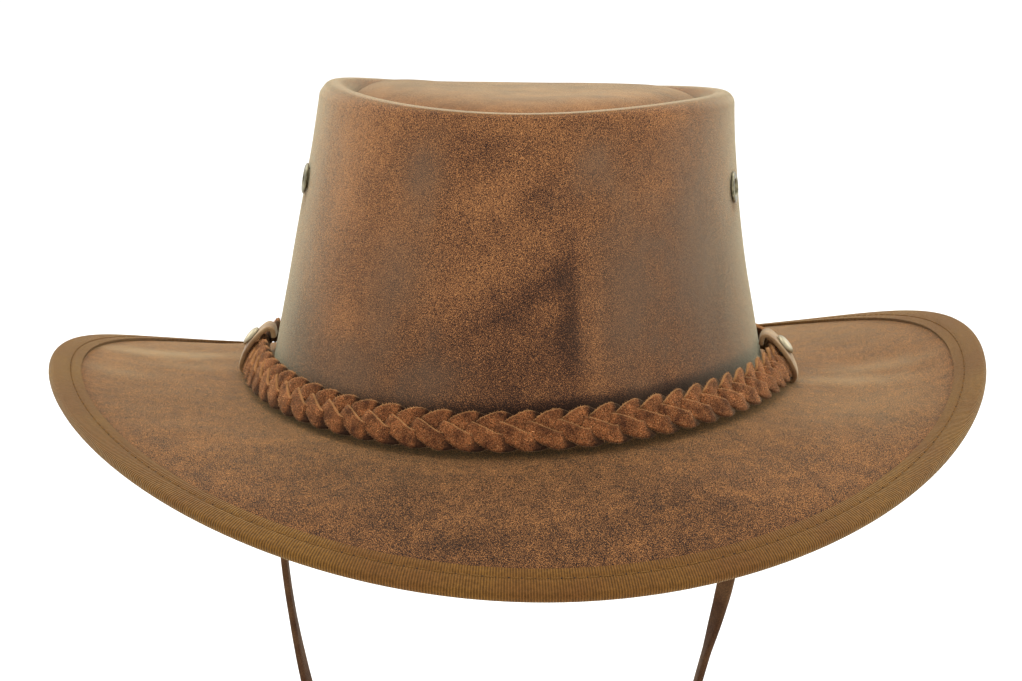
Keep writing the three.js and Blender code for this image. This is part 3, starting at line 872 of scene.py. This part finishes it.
crown_tip = skin("crown_tip_leather", both_faces(tip_face, tip_under), poles=True, marks={
    "tone": both_faces(tip_tone, tip_tone), "wear_and_sheen": both_faces(tip_wear, tip_wear),
    "flesh": both_faces(np.zeros_like(tip_tone), np.ones_like(tip_tone)),
})
finish_piece(crown_tip, tip_leather, "crown_leather", "crown_tip")

# %% [markdown]
# ## The brim
# The brim is one ring of leather, shaped by hand over steam: up at the sides, down in front.
# It is the brim's own formula on a fine grid, with soft waves where hands have held it.

# %% The brim
BINDING_WIDTH = 10.6
BINDING_RIBBON = 0.7
BINDING_START = BRIM_WIDTH - BINDING_WIDTH
BRIM_CUT = 72.2
BRIM_ROWS = 64

brim_distance = np.linspace(-LEATHER, BRIM_CUT, BRIM_ROWS)[None, :]
brim_face = brim(TURNS[:, None], brim_distance)
brim_swell = relief(brim_face, ((40.0, 0.7, 9.0), (15.0, 0.16, 2.0)))
# The swell fades out towards the crown and under the binding.
free = np.clip((brim_distance - 14) / 16, 0, 1)
free = free * np.clip((BINDING_START - brim_distance) / 12, 0, 1)
brim_face = brim_face + sheet_normals(brim_face, -1) * (brim_swell * free)[..., None]
brim_fray = relief(brim_face, ((9.0, 0.5, 51.0), (3.5, 0.35, 23.0)))
brim_tone = plan_field(brim_face, BRIM_PATCHES, brim_fray)
# The front of the brim is painted darker than its wings: painted shade, where less light falls on it.
brim_tone -= 0.4 + 0.55 * np.clip(-np.sin(TURNS), 0, 1)[:, None] ** 2
# Pale streaks of painted sheen on the wings, where the nap would catch the light.
brim_painted_sheen = np.clip(plan_field(brim_face, BRIM_PAINTED_SHEEN, brim_fray), 0, 0.6)
brim_ring = skin("brim_leather_ring", leather_loops(brim_face, BRIM_LEATHER, -1), marks={
    "tone": sheet_marks(brim_tone), "wear_and_sheen": sheet_marks(brim_painted_sheen),
    "flesh": flesh_marks(brim_face),
})
finish_piece(brim_ring, brim_leather, "brim_leather", "brim")

# %% [markdown]
# ## The ribbon binding
# A grosgrain ribbon, ribbed across its width, is folded over the brim's cut edge and sewn
# through with one row of stitches. The ribbon's section is drawn once, top face, fold and
# underside, and carried round the brim. The seam pulls a slight groove into both faces.

# %% The binding's ribbon
RIB_PITCH = 0.9
STITCH_LINE = BINDING_START + BINDING_WIDTH * 0.34
edge_line = brim(TURNS, BRIM_WIDTH)
edge_length = float(np.linalg.norm(edge_line - np.roll(edge_line, 1, 0), axis=1).sum())
print("brim edge", round(edge_length), "mm round")

# Grosgrain: fine warp wrapped over a thick weft, so that it is ribbed across.
material, tree, place = new_material(
    "grosgrain ribbon", Roughness=0.75, Specular_IOR_Level=0.1,
    Sheen_Weight=0.45, Sheen_Roughness=0.35, Sheen_Tint="#ecdcae")
uv = add(tree, "ShaderNodeUVMap", uv_map="along").outputs[0]
along = add(tree, "ShaderNodeSeparateXYZ", {0: uv}).outputs["X"]
# One rib is 0.9 mm of the edge. The count is whole, so the ribs meet where the ring closes.
phase = combine(tree, "MULTIPLY", along, round(edge_length / RIB_PITCH) * 2 * math.pi)
wave = add(tree, "ShaderNodeMath", {0: phase}, operation="SINE").outputs[0]
# The ribs are uneven over 1.2 mm, the threads 0.4 mm apart, and the dye fades over 30 mm.
wave = combine(tree, "ADD", wave, between(tree, speckle(tree, place, 1.2), -0.5, 0.5))
base = clouded(tree, speckle(tree, place, 30.0, 3.0), "#7c5027", "#8a612a")
# Between the ribs the colour is darker: painted shade in the grooves of the grosgrain.
ribbed = mixed(tree, between(tree, wave, low=-1.2, high=1.2), colour("#523617"), base)
woven = tinted(tree, ribbed, speckle(tree, place, 0.4), 0.84, 1.18)
ribbon = paint(material, woven, bumped(tree, wave, 0.16, 0.7))

# %% The binding
RIBBON_TOP = GAP + BINDING_RIBBON
FOLD_RADIUS = BRIM_LEATHER / 2 + RIBBON_TOP
FOLD_MIDDLE = BRIM_WIDTH - FOLD_RADIUS
SEAM_GROOVE = 0.3
RIBBON_PUFF = 0.22


def ribbon_face(lift, radius):
    """Distance and lift along one face of the folded ribbon, from top to underside."""
    flat = np.linspace(BINDING_START, FOLD_MIDDLE, 15)[:-1]
    groove = SEAM_GROOVE * np.exp(-((flat - STITCH_LINE) / 0.9) ** 2)
    share = (flat - BINDING_START) / (FOLD_MIDDLE - BINDING_START)
    level = lift + RIBBON_PUFF * np.sin(share * math.pi) - groove
    turned = np.radians(np.linspace(90, -90, 13))
    arc = (FOLD_MIDDLE + radius * np.cos(turned), -BRIM_LEATHER / 2 + radius * np.sin(turned))
    under = (flat[::-1], -BRIM_LEATHER - level[::-1])
    return np.concatenate([(flat, level), arc, under], axis=1)


ribbon_outer = ribbon_face(RIBBON_TOP, FOLD_RADIUS)
ribbon_inner = ribbon_face(GAP * 0.5, FOLD_RADIUS - BINDING_RIBBON)
ribbon_section = np.concatenate([ribbon_outer, ribbon_inner[:, ::-1]], axis=1)
binding = skin("brim_ribbon_binding", brim(TURNS[:, None], *ribbon_section))
finish_piece(binding, ribbon, "ribbon", "brim_binding")

# %% [markdown]
# ## The stitches
# A lockstitch machine sews the ribbon on, about six stitches an inch, in thread of its colour.
# Geometry Nodes put one small rounded stitch at each step along a closed line, turned to
# follow it, and a second pass puts small dark pieces between the stitches, as painted shade in the
# needle holes.

# %% Trees that set small pieces
def open_tree(name, **sockets):
    """A Geometry Nodes tree with inputs of these kinds, and its input sockets."""
    tree = bpy.data.node_groups.new(name, "GeometryNodeTree")
    kinds = {**sockets, "Length": "Float", "Width": "Float", "Unevenness": "Float",
             "Seed": "Int", "Material": "Material"}
    for label, kind in kinds.items():
        tree.interface.new_socket(label, in_out="INPUT", socket_type=f"NodeSocket{kind}")
    tree.interface.new_socket("Pieces", in_out="OUTPUT", socket_type="NodeSocketGeometry")
    return tree, add(tree, "NodeGroupInput").outputs


def set_out(tree, points, mesh, sizes, direction, axis, smooth):
    """Sets the mesh on the points, turned and in varied sizes, as real mesh in the material."""
    given = tree.nodes["Group Input"].outputs
    size = add(tree, "ShaderNodeCombineXYZ", {n: given[label] for n, label in zip("XYZ", sizes)})
    piece = add(tree, "GeometryNodeTransform", {"Geometry": mesh, "Scale": size.outputs[0]})
    turned = add(tree, "FunctionNodeAlignRotationToVector", {"Vector": direction}, axis=axis)
    least = combine(tree, "SUBTRACT", 1.0, given["Unevenness"])
    vary = add(tree, "FunctionNodeRandomValue", {2: least, 3: 1.0, "Seed": given["Seed"]},
               data_type="FLOAT")
    placed = add(tree, "GeometryNodeInstanceOnPoints", {
        "Points": points, "Instance": piece.outputs[0],
        "Rotation": turned.outputs[0], "Scale": vary.outputs[1]})
    real = add(tree, "GeometryNodeRealizeInstances", {"Geometry": placed.outputs[0]})
    if smooth:
        real = add(tree, "GeometryNodeSetShadeSmooth", {"Geometry": real.outputs[0]})
    dressed = add(tree, "GeometryNodeSetMaterial", {
        "Geometry": real.outputs[0], "Material": given["Material"]})
    add(tree, "NodeGroupOutput", {"Pieces": dressed.outputs[0]})
    return tree


def row_tree(name):
    """Sets one small rounded piece at each even step along a closed curve."""
    tree, given = open_tree(name, Line="Geometry", Count="Int")
    even = add(tree, "GeometryNodeResampleCurve", {"Curve": given["Line"], "Count": given["Count"]})
    ball = add(tree, "GeometryNodeMeshUVSphere", {"Segments": 8, "Rings": 6, "Radius": 0.5})
    tangent = add(tree, "GeometryNodeInputTangent").outputs[0]
    return set_out(tree, even.outputs[0], ball.outputs["Mesh"], ("Length", "Width", "Width"),
                   tangent, "X", smooth=True)


def closed_line(name, points):
    """A closed poly curve through points in millimetres."""
    data = bpy.data.curves.new(name, "CURVE")
    data.dimensions = "3D"
    line = data.splines.new("POLY")
    line.points.add(len(points) - 1)
    line.points.foreach_set("co", np.hstack([points * MM, np.ones((len(points), 1))]).ravel())
    line.use_cyclic_u = True
    return put(name, data)


def grown(name, source, tree, **values):
    """The result of a tree on a source object, as a plain mesh object, without the source."""
    maker = source.modifiers.new("maker", "NODES")
    maker.node_group = tree
    for item in tree.interface.items_tree:
        if item.in_out == "INPUT" and item.name in values:
            maker[item.identifier] = values[item.name]
    evaluated = source.evaluated_get(bpy.context.evaluated_depsgraph_get())
    mesh = bpy.data.meshes.new_from_object(evaluated)
    mesh.name = name
    bpy.data.objects.remove(source)
    return put(name, mesh)


# %% The stitches and the needle holes
STITCH_PITCH = 4.1
STITCH_LENGTH = 3.3
THREAD = 0.5
HOLE = 0.75
STITCH_LIFT = 0.08
HOLE_SINK = 0.12

# Polyester thread, twisted and waxed, in the ribbon's colour. Two plies are 0.35 mm apart.
material, tree, place = new_material("sewing thread", Roughness=0.8, Specular_IOR_Level=0.1)
ply = speckle(tree, place, 0.35)
thread = paint(material, clouded(tree, ply, "#644421", "#8a6536", 0.3), bumped(tree, ply, 0.1, 0.5))
# A needle hole is drawn as a small dark piece: painted shade in the hole.
material, tree, place = new_material("shade of a needle hole", Roughness=0.95)
shade = mixed(tree, speckle(tree, place, 0.5), colour("#1d120a"), colour("#33210f"))
hole = paint(material, shade)

# name, length, width, unevenness, seed, height off the ribbon, share of a stitch along, material
SEAM_PIECES = (
    ("stitches", STITCH_LENGTH, THREAD, 0.18, 7, STITCH_LIFT, 0.0, thread),
    ("needle_hole_shades", HOLE, HOLE, 0.3, 11, -HOLE_SINK, 0.5, hole),
)
seam = row_tree("pieces along a line")
seam_top = RIBBON_TOP - SEAM_GROOVE + RIBBON_PUFF * math.sin(0.36 * math.pi)
for side, level, out in (("top", seam_top, 1), ("under", -BRIM_LEATHER - seam_top, -1)):
    for name, length, width, uneven, seed, lift, shift, finish in SEAM_PIECES:
        turn = TURNS + shift * STITCH_PITCH / edge_length * 2 * math.pi
        line = closed_line("seam", brim(turn, STITCH_LINE, level + lift * out))
        pieces = grown(f"{name}_{side}", line, seam, Count=round(edge_length / STITCH_PITCH),
                       Length=length * MM, Width=width * MM, Unevenness=uneven, Seed=seed,
                       Material=finish)
        finish_piece(pieces, finish, "ribbon")

# %% [markdown]
# ## The braided band
# Four strips of reddish suede are braided flat, each over two and under one, into a band of
# 13 mm by 5 mm that lies in the corner between crown and brim. Along the band a strip swings
# from edge to edge as a sine, a quarter of a swing behind its neighbour, and at each
# crossing it is over or under. A table of those crossings drives its height. The CAD has one
# solid for the whole band, and these four closed strips lie inside its outline.

# %% The braid's suede
def braid_suede(name, dark, light):
    """Split cowhide with the nap left long, dyed red brown, paler on its raised edge as a painted
    highlight and dark in the crevices as painted shade.
    """
    material, tree, place = new_material(
        name, Roughness=0.9, Specular_IOR_Level=0.1,
        Sheen_Weight=0.5, Sheen_Roughness=0.4, Sheen_Tint="#eac79a")
    # The nap's tufts are about 0.4 mm, and handling leaves patches of 4 mm.
    nap = speckle(tree, place, 0.4, 2.0, 0.6)
    dyed = clouded(tree, speckle(tree, place, 4.0, 3.0, 0.6), dark, light, 0.3)
    # A painted highlight pales the raised edge, and painted shade darkens the crevices.
    rubbed_and_lit = mixed(tree, mark(tree, "edge"), tinted(tree, dyed, nap, 0.1, 2.15), colour("#c8935c"))
    shaded = mixed(tree, mark(tree, "painted_shade"), rubbed_and_lit, colour("#1e110b"))
    return paint(material, shaded, bumped(tree, nap, 0.4, 0.7))


# %% The braid
BAND_REST_ON_CROWN = 11.0
BAND_REST_ON_BRIM = 7.5
BAND_THICKNESS = 4.8
BRAID_SWINGS = 17
BRAID_STEPS = 36
STRIP_WIDTH = 5.8
STRIP_THICKNESS = 1.5
STRIP_SWING = 3.95
STRIP_TILT = math.radians(16)
CROSSING_LIFT = 0.95
STRIP_CORNERS = 24
# angle of the swing, how far the strip is over (1) or under (-1), and its share of the tilt
CROSSINGS = np.array([
    (-45, -1, 0), (0, -1, 0.3), (45, 1, 0.8), (80, 0.75, 1), (135, -1.35, 0), (180, 1, 0.7),
    (225, 1, 1), (262, 0.75, 1), (315, -1, 0), (360, -1, 0.3), (405, 1, 0.8),
], float)


def band_place(turn, along, lift):
    """A place in the band: along from its crown edge to its brim edge, lift off its back."""
    top = wall_at(turn, BAND_REST_ON_CROWN, -GAP)
    across = brim(turn, BAND_REST_ON_BRIM, GAP) - top
    side = np.cross(outward(FOOT_HALF_WIDTH, FOOT_HALF_LENGTH, turn), (0.0, 0.0, 1.0))
    face = unit(np.cross(across, side))
    return top + across * np.asarray(along)[..., None] - face * np.asarray(lift)[..., None]


def along_swing(swing, column):
    """The strip's height (1) or tilt (2) at each part of the swing, eased between the rows."""
    at = np.degrees(swing) % 360
    angles, levels = CROSSINGS[:, 0], CROSSINGS[:, column]
    k = np.clip(np.searchsorted(angles, at, side="right") - 1, 0, len(angles) - 2)
    share = (at - angles[k]) / (angles[k + 1] - angles[k])
    eased = share * share * (3 - 2 * share)
    return levels[k] + (levels[k + 1] - levels[k]) * eased


def even_turns(count):
    """Turns that are evenly spaced along the middle of the band."""
    fine = np.linspace(0, 2 * math.pi, 2881)
    steps = np.linalg.norm(np.diff(band_place(fine, 0.5, 0.0), axis=0), axis=1)
    length = np.concatenate([[0], np.cumsum(steps)])
    return np.interp(np.arange(count) / count * length[-1], length, fine), float(length[-1])


braid_count = BRAID_SWINGS * BRAID_STEPS
braid_turns, braid_length = even_turns(braid_count)
band_edges = band_place(braid_turns, 1.0, 0.0) - band_place(braid_turns, 0.0, 0.0)
band_width = np.linalg.norm(band_edges, axis=1)
suede = braid_suede("red brown suede", "#482919", "#8a5531")
section = np.arange(STRIP_CORNERS) * 2 * math.pi / STRIP_CORNERS
edge = -np.cos(section)[None, :]
# Along the raised edge towards the crown the strip is painted pale, a painted highlight, and along the
# edge towards the brim it is painted darker, a painted shadow.
worn_and_lit = np.clip(edge - 0.75, 0, 1) * 2.6
lower = np.clip((-edge - 0.5) / 0.4, 0, 1) * 0.45
upper = (np.sin(section) > -0.3)[None, :]
strands = []
for strand in range(4):
    swing = 2 * math.pi * BRAID_SWINGS * np.arange(braid_count) / braid_count + strand * math.pi / 2
    # A tenth of the third harmonic taken from the sine straightens the strip between turns.
    zigzag = (np.sin(swing) - np.sin(3 * swing) / 10) / 1.1
    height = along_swing(swing, 1)
    along = 0.5 - STRIP_SWING * zigzag / band_width
    lift = BAND_THICKNESS / 2 + CROSSING_LIFT * height
    middle = band_place(braid_turns, along, lift)
    direction = unit(np.roll(middle, -1, 0) - np.roll(middle, 1, 0))
    face = unit(band_place(braid_turns, along, lift + 1) - middle)
    across = unit(np.cross(direction, face))
    # Each strip leans on the next one, so that its edge towards the crown stands up.
    tilt = (STRIP_TILT * along_swing(swing, 2))[:, None]
    face = unit(np.cross(across, direction) * np.cos(tilt) + across * np.sin(tilt))
    across = np.cross(direction, face)
    # Suede is cut by hand and frays: its edge wanders by 0.3 mm.
    fray = relief(middle, ((2.2, 0.05, 5.0 + strand), (9.0, 0.06, 9.0 + strand)))
    loops = rounded_strip(middle, across, face, STRIP_WIDTH * (1 + fray), STRIP_THICKNESS,
                          STRIP_CORNERS, 4.0)
    # Where a strip goes under another it is painted dark: painted shade in the crevices of the braid.
    crevice_shade = np.clip((0.55 - height) / 0.35, 0, 1)[:, None] * 0.95
    strands.append(skin(f"strand_{strand}", loops, marks={
        "edge": worn_and_lit, "painted_shade": np.clip(crevice_shade + lower, 0, 0.92), "shown": upper}))

with bpy.context.temp_override(active_object=strands[0], selected_editable_objects=strands):
    bpy.ops.object.join()
braid = strands[0]
braid.name = "braided_band"
finish_piece(braid, suede, "braid", "hat_band")
print("braid", round(braid_length), "mm round, one swing", round(braid_length / BRAID_SWINGS, 1), "mm")

# %% [markdown]
# ## The braid's nap
# Suede is the flesh side of a hide, brushed up into short fibres that blur its outline and
# catch the light one by one. A bump alone leaves the outline smooth, and hair particles are
# lost in the export, so Geometry Nodes set thin three sided spikes on the outer faces.

# %% A tree that grows a nap
def nap_tree(name):
    """Scatters short leaning fibres over the shown side of a surface."""
    tree, given = open_tree(name, Surface="Geometry", Density="Float", Lean="Float")
    shown = add(tree, "GeometryNodeInputNamedAttribute", {"Name": "shown"}).outputs[0]
    # Fewer fibres grow where the strips carry painted shade.
    painted_shade = add(tree, "GeometryNodeInputNamedAttribute", {"Name": "painted_shade"}).outputs[0]
    bare = combine(tree, "MULTIPLY", shown, combine(tree, "SUBTRACT", 1.0, painted_shade))
    spread = add(tree, "GeometryNodeDistributePointsOnFaces", {
        "Mesh": given["Surface"], "Density": combine(tree, "MULTIPLY", given["Density"], bare),
        "Seed": given["Seed"]}).outputs
    lean = add(tree, "FunctionNodeRandomValue", {
        0: (-1, -1, -1), 1: (1, 1, 1), "Seed": given["Seed"]}, data_type="FLOAT_VECTOR")
    leaning = add(tree, "ShaderNodeVectorMath", {0: lean.outputs[0], "Scale": given["Lean"]},
                  operation="SCALE")
    upright = add(tree, "ShaderNodeVectorMath", {0: spread["Normal"], 1: leaning.outputs[0]},
                  operation="ADD")
    spike = add(tree, "GeometryNodeMeshCone", {
        "Vertices": 3, "Radius Top": 0.0, "Radius Bottom": 0.5, "Depth": 1.0}, fill_type="NONE")
    return set_out(tree, spread["Points"], spike.outputs["Mesh"], ("Width", "Width", "Length"),
                   upright.outputs[0], "Z", smooth=False)


# %% The nap
NAP_LENGTH = 0.75
# A fibre of the real nap is about 0.05 mm wide, drawn here at 0.2 mm so that it shows.
NAP_WIDTH = 0.2
NAP_PER_MM2 = 3.2
# The fibres are paler than the strips: a painted highlight on the nap.
raised = braid_suede("raised suede nap", "#6b4027", "#dba46c")
ground = put("nap_ground", braid.data.copy())
nap = grown("braid_nap", ground, nap_tree("nap on a surface"), Density=NAP_PER_MM2 / MM**2,
            Length=NAP_LENGTH * MM, Width=NAP_WIDTH * MM, Lean=0.7, Unevenness=0.55, Seed=5,
            Material=raised)
finish_piece(nap, raised, "braid")

# %% [markdown]
# ## The straps over the band
# A short strap on each side stands against the crown, arches over the braid and goes down to
# the brim, held by a domed stud. It is a strip of smooth leather, swept along a line that
# keeps clear of the braid by the same gaps as the CAD solid.

# %% Smooth strap leather
# It is finished smooth and greyed by handling.
material, tree, place = new_material(
    "smooth strap leather", Roughness=0.55, Specular_IOR_Level=0.3,
    Sheen_Weight=0.5, Sheen_Roughness=0.4, Sheen_Tint="#efe4c2")
# Pores are 0.4 mm apart, and the colour is cloudy over 5 mm.
pore = speckle(tree, place, 0.4)
cloudy = clouded(tree, speckle(tree, place, 5.0, 3.0), "#836140", "#a9895f")
strap = paint(material, tinted(tree, cloudy, pore, 0.85, 1.15), bumped(tree, pore, 0.15, 0.5))

# %% The straps
KEEPER_WIDTH = 10.0
KEEPER_LEATHER = 1.8
KEEPER_TOP = 17.5
KEEPER_TURN = -4
KEEPER_ARCH = 1.2
KEEPER_START = BAND_REST_ON_CROWN + 1.6
KEEPER_SEAT = (0.12, 0.8)
KEEPER_TAPER = 4.0
KEEPER_TAIL_SHIFT = 2.0
KEEPER_LANDING = BAND_REST_ON_BRIM + 0.2


def swept_strap(name, node, control, level, facing, width, leather, taper=0.0, shift=0.0):
    """A flat strap on a line, whose outer face looks the way of facing."""
    line = smooth_rows(control[None], 8)[0]
    wide = np.broadcast_to(np.cross(level, (0.0, 0.0, 1.0)), line.shape)
    away = unit(np.cross(wide, unit(np.gradient(line, axis=0))))
    if away[len(away) // 2] @ facing < 0:
        away = -away
    tail = np.clip(np.linspace(-1.2, 1, len(line)), 0, 1)
    centre = line + away * leather / 2 + stack(0.0, shift * tail, 0.0)
    loops = rounded_strip(centre, wide, away, width - taper * tail, leather, 28, 5.0)
    finish_piece(skin(name, loops, closed=False), strap, "strap", node)


def keeper_line(turn):
    """The strap's inner face, from the crown over the braid to the brim."""
    off = -GAP - KEEPER_LEATHER
    return np.array([
        wall_at(turn, KEEPER_START, off),
        wall_at(turn, KEEPER_TOP - 1.4 * KEEPER_LEATHER, off - KEEPER_ARCH),
        band_place(turn, KEEPER_SEAT[0], BAND_THICKNESS + GAP),
        band_place(turn, 0.46, BAND_THICKNESS + GAP),
        band_place(turn, KEEPER_SEAT[1], BAND_THICKNESS - 0.9),
        band_place(turn, 0.98, BAND_THICKNESS - 2.4),
        brim(turn, KEEPER_LANDING, GAP),
    ])


# The strap narrows towards its end on the brim, and that end sits a little to the back.
for name, turn in side_turns(KEEPER_TURN).items():
    level = outward(FOOT_HALF_WIDTH, FOOT_HALF_LENGTH, turn)
    swept_strap(f"keeper_strap_{name}", f"keeper_{name}", keeper_line(turn), level,
                level + (0.0, 0.0, 0.5), KEEPER_WIDTH, KEEPER_LEATHER, KEEPER_TAPER, KEEPER_TAIL_SHIFT)

# %% [markdown]
# ## The studs
# Each strap is held by a nickel plated stud with a low domed cap. The CAD stud has the right
# shape but few faces, so the same profile is turned again with more, and a small rolled edge.

# %% The studs
STUD_RADIUS = 3.7
STUD_HEIGHT = 1.5
STUD_ALONG = 0.31

# Nickel plated brass: a warm white metal, dulled by scratches a few tenths of a mm apart.
material, tree, place = new_material("nickel plate", Metallic=1.0, Roughness=0.45)
scratch = speckle(tree, place, 0.5, 3.0)
tone = mixed(tree, scratch, colour("#8f8468"), colour("#c0b598"))
nickel = paint(material, tone, roughness=between(tree, scratch, 0.38, 0.55))
STUD_PROFILE = np.array([
    (0.05, 0.0), (0.93, 0.0), (1.0, 0.1), (1.0, 0.26), (0.94, 0.44),
    (0.8, 0.68), (0.58, 0.87), (0.3, 0.98), (0.03, 1.0),
]) * (STUD_RADIUS, STUD_HEIGHT)
profile = smooth_rows(STUD_PROFILE[None], 3)[0]
for name, turn in side_turns(KEEPER_TURN).items():
    seat = band_place(turn, STUD_ALONG, BAND_THICKNESS + KEEPER_LEATHER + 2 * GAP)
    out = unit(band_place(turn, STUD_ALONG, 1) - band_place(turn, STUD_ALONG, 0))
    stud = skin(f"keeper_stud_{name}", turned_ring(profile, seat, out), poles=True)
    finish_piece(stud, nickel, "nickel", f"stud_{name}")

# %% [markdown]
# ## The vent eyelets
# An eyelet is a rolled flange outside, a barrel through the leather and a turned edge inside,
# in brass that was darkened with acid. One closed profile is turned round the hole's axis.

# %% The eyelets
# The patina is blotchy over about 1.5 mm.
material, tree, place = new_material("darkened brass", Metallic=1.0, Roughness=0.38)
blotch = speckle(tree, place, 1.5, 3.0)
brass = paint(material, clouded(tree, blotch, "#58543f", "#938b6f"),
              roughness=between(tree, blotch, 0.3, 0.5))
barrel = EYELET_BORE + EYELET_WALL
inside = -LEATHER - GAP
turned_edge = (EYELET_RADIUS + barrel) / 2
EYELET_PROFILE = np.array([
    (EYELET_BORE, inside - EYELET_WALL * 0.6), (EYELET_BORE + 0.25, inside - EYELET_WALL),
    (turned_edge, inside - EYELET_WALL), (turned_edge + 0.1, inside - EYELET_WALL / 2),
    (turned_edge, inside), (barrel, inside), (barrel, GAP), (EYELET_RADIUS - 0.1, GAP),
    (EYELET_RADIUS, GAP + 0.25), (EYELET_RADIUS * 0.95, GAP + EYELET_FLANGE * 0.65),
    (EYELET_RADIUS * 0.84, GAP + EYELET_FLANGE * 0.95), (EYELET_RADIUS * 0.72, GAP + EYELET_FLANGE),
    (EYELET_BORE + 0.45, GAP + EYELET_FLANGE * 0.8), (EYELET_BORE, GAP + EYELET_FLANGE * 0.3),
])
for name, turn in side_turns(EYELET_TURN).items():
    seat, out = eyelet_seat(turn)
    eyelet = skin(f"vent_eyelet_{name}", turned_ring(EYELET_PROFILE, seat, out))
    finish_piece(eyelet, brass, "dark_metal", f"eyelet_{name}")

# %% [markdown]
# ## The tabs inside
# The lace hangs from a plain leather tab on each side, which stands just inside the crown.
# The photograph doesn't show how it is fixed, so the tab stays plain.

# %% The tabs
for name, turn in side_turns(0).items():
    level = outward(FOOT_HALF_WIDTH, FOOT_HALF_LENGTH, turn)
    base = foot(turn) + level * tab_back(turn)
    high = wall_at(turn, TAB_HEIGHT - TAB_DROP, LEATHER + TAB_HOLLOW + GAP)
    line = np.array([base - stack(0.0, 0.0, TAB_DROP), base, high])
    swept_strap(f"lace_tab_leather_{name}", f"lace_tab_{name}", line, level, -level,
                TAB_WIDTH, TAB_LEATHER)

# %% [markdown]
# ## The studio
# The photograph has a plain white ground and soft light from all round. A wide pale floor
# stands under the hat, the sky is an even white, and large lamps add a little direction.

# %% Floor and light
FLOOR_HEIGHT = -0.27
FLOOR_HALF = 8.0

material, tree, place = new_material("pale studio floor", Roughness=0.9)
pale = mixed(tree, speckle(tree, place, 300.0), colour("#f6f6f4"), colour("#fbfbfa"))
floor_mesh = bpy.data.meshes.new("floor")
corners = [(-1, -1), (1, -1), (1, 1), (-1, 1)]
floor_mesh.from_pydata(
    [(x * FLOOR_HALF, y * FLOOR_HALF, FLOOR_HEIGHT) for x, y in corners], [], [(0, 1, 2, 3)])
floor_mesh.materials.append(paint(material, pale))
put("floor", floor_mesh)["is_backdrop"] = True

world = bpy.data.worlds.new("studio")
world.use_nodes = True
background = world.node_tree.nodes["Background"].inputs
background["Color"].default_value = (1, 1, 1, 1)
background["Strength"].default_value = 1.0
bpy.context.scene.world = world


def lamp(name, place, aim, size, power):
    """A large soft lamp that points at the aim."""
    data = bpy.data.lights.new(name, "AREA")
    data.shape = "DISK"
    data.size = size
    data.energy = power
    made = put(name, data)
    made.location = place
    made.rotation_euler = (Vector(aim) - Vector(place)).to_track_quat("-Z", "Y").to_euler()
    made.visible_camera = False


lamp("top lamp", (0.0, 0.5, 2.2), (0, 0, 0), 1.8, 30)
lamp("back left lamp", (-1.8, 1.6, 1.0), (0, 0, 0.05), 1.4, 16)
lamp("back right lamp", (1.8, 1.6, 1.0), (0, 0, 0.05), 1.4, 16)
bpy.context.scene.view_settings.view_transform = "Standard"

# %% [markdown]
# ## Size
# The box round the dressed hat, without the floor, is printed in millimetres. The dressed
# hat must stay inside the CAD hat's box, but for the little that cloth may stand proud.

# %% Size and finish
low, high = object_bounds()
print("visual box, mm:", [round(v / MM, 1) for v in (*low, *high)])
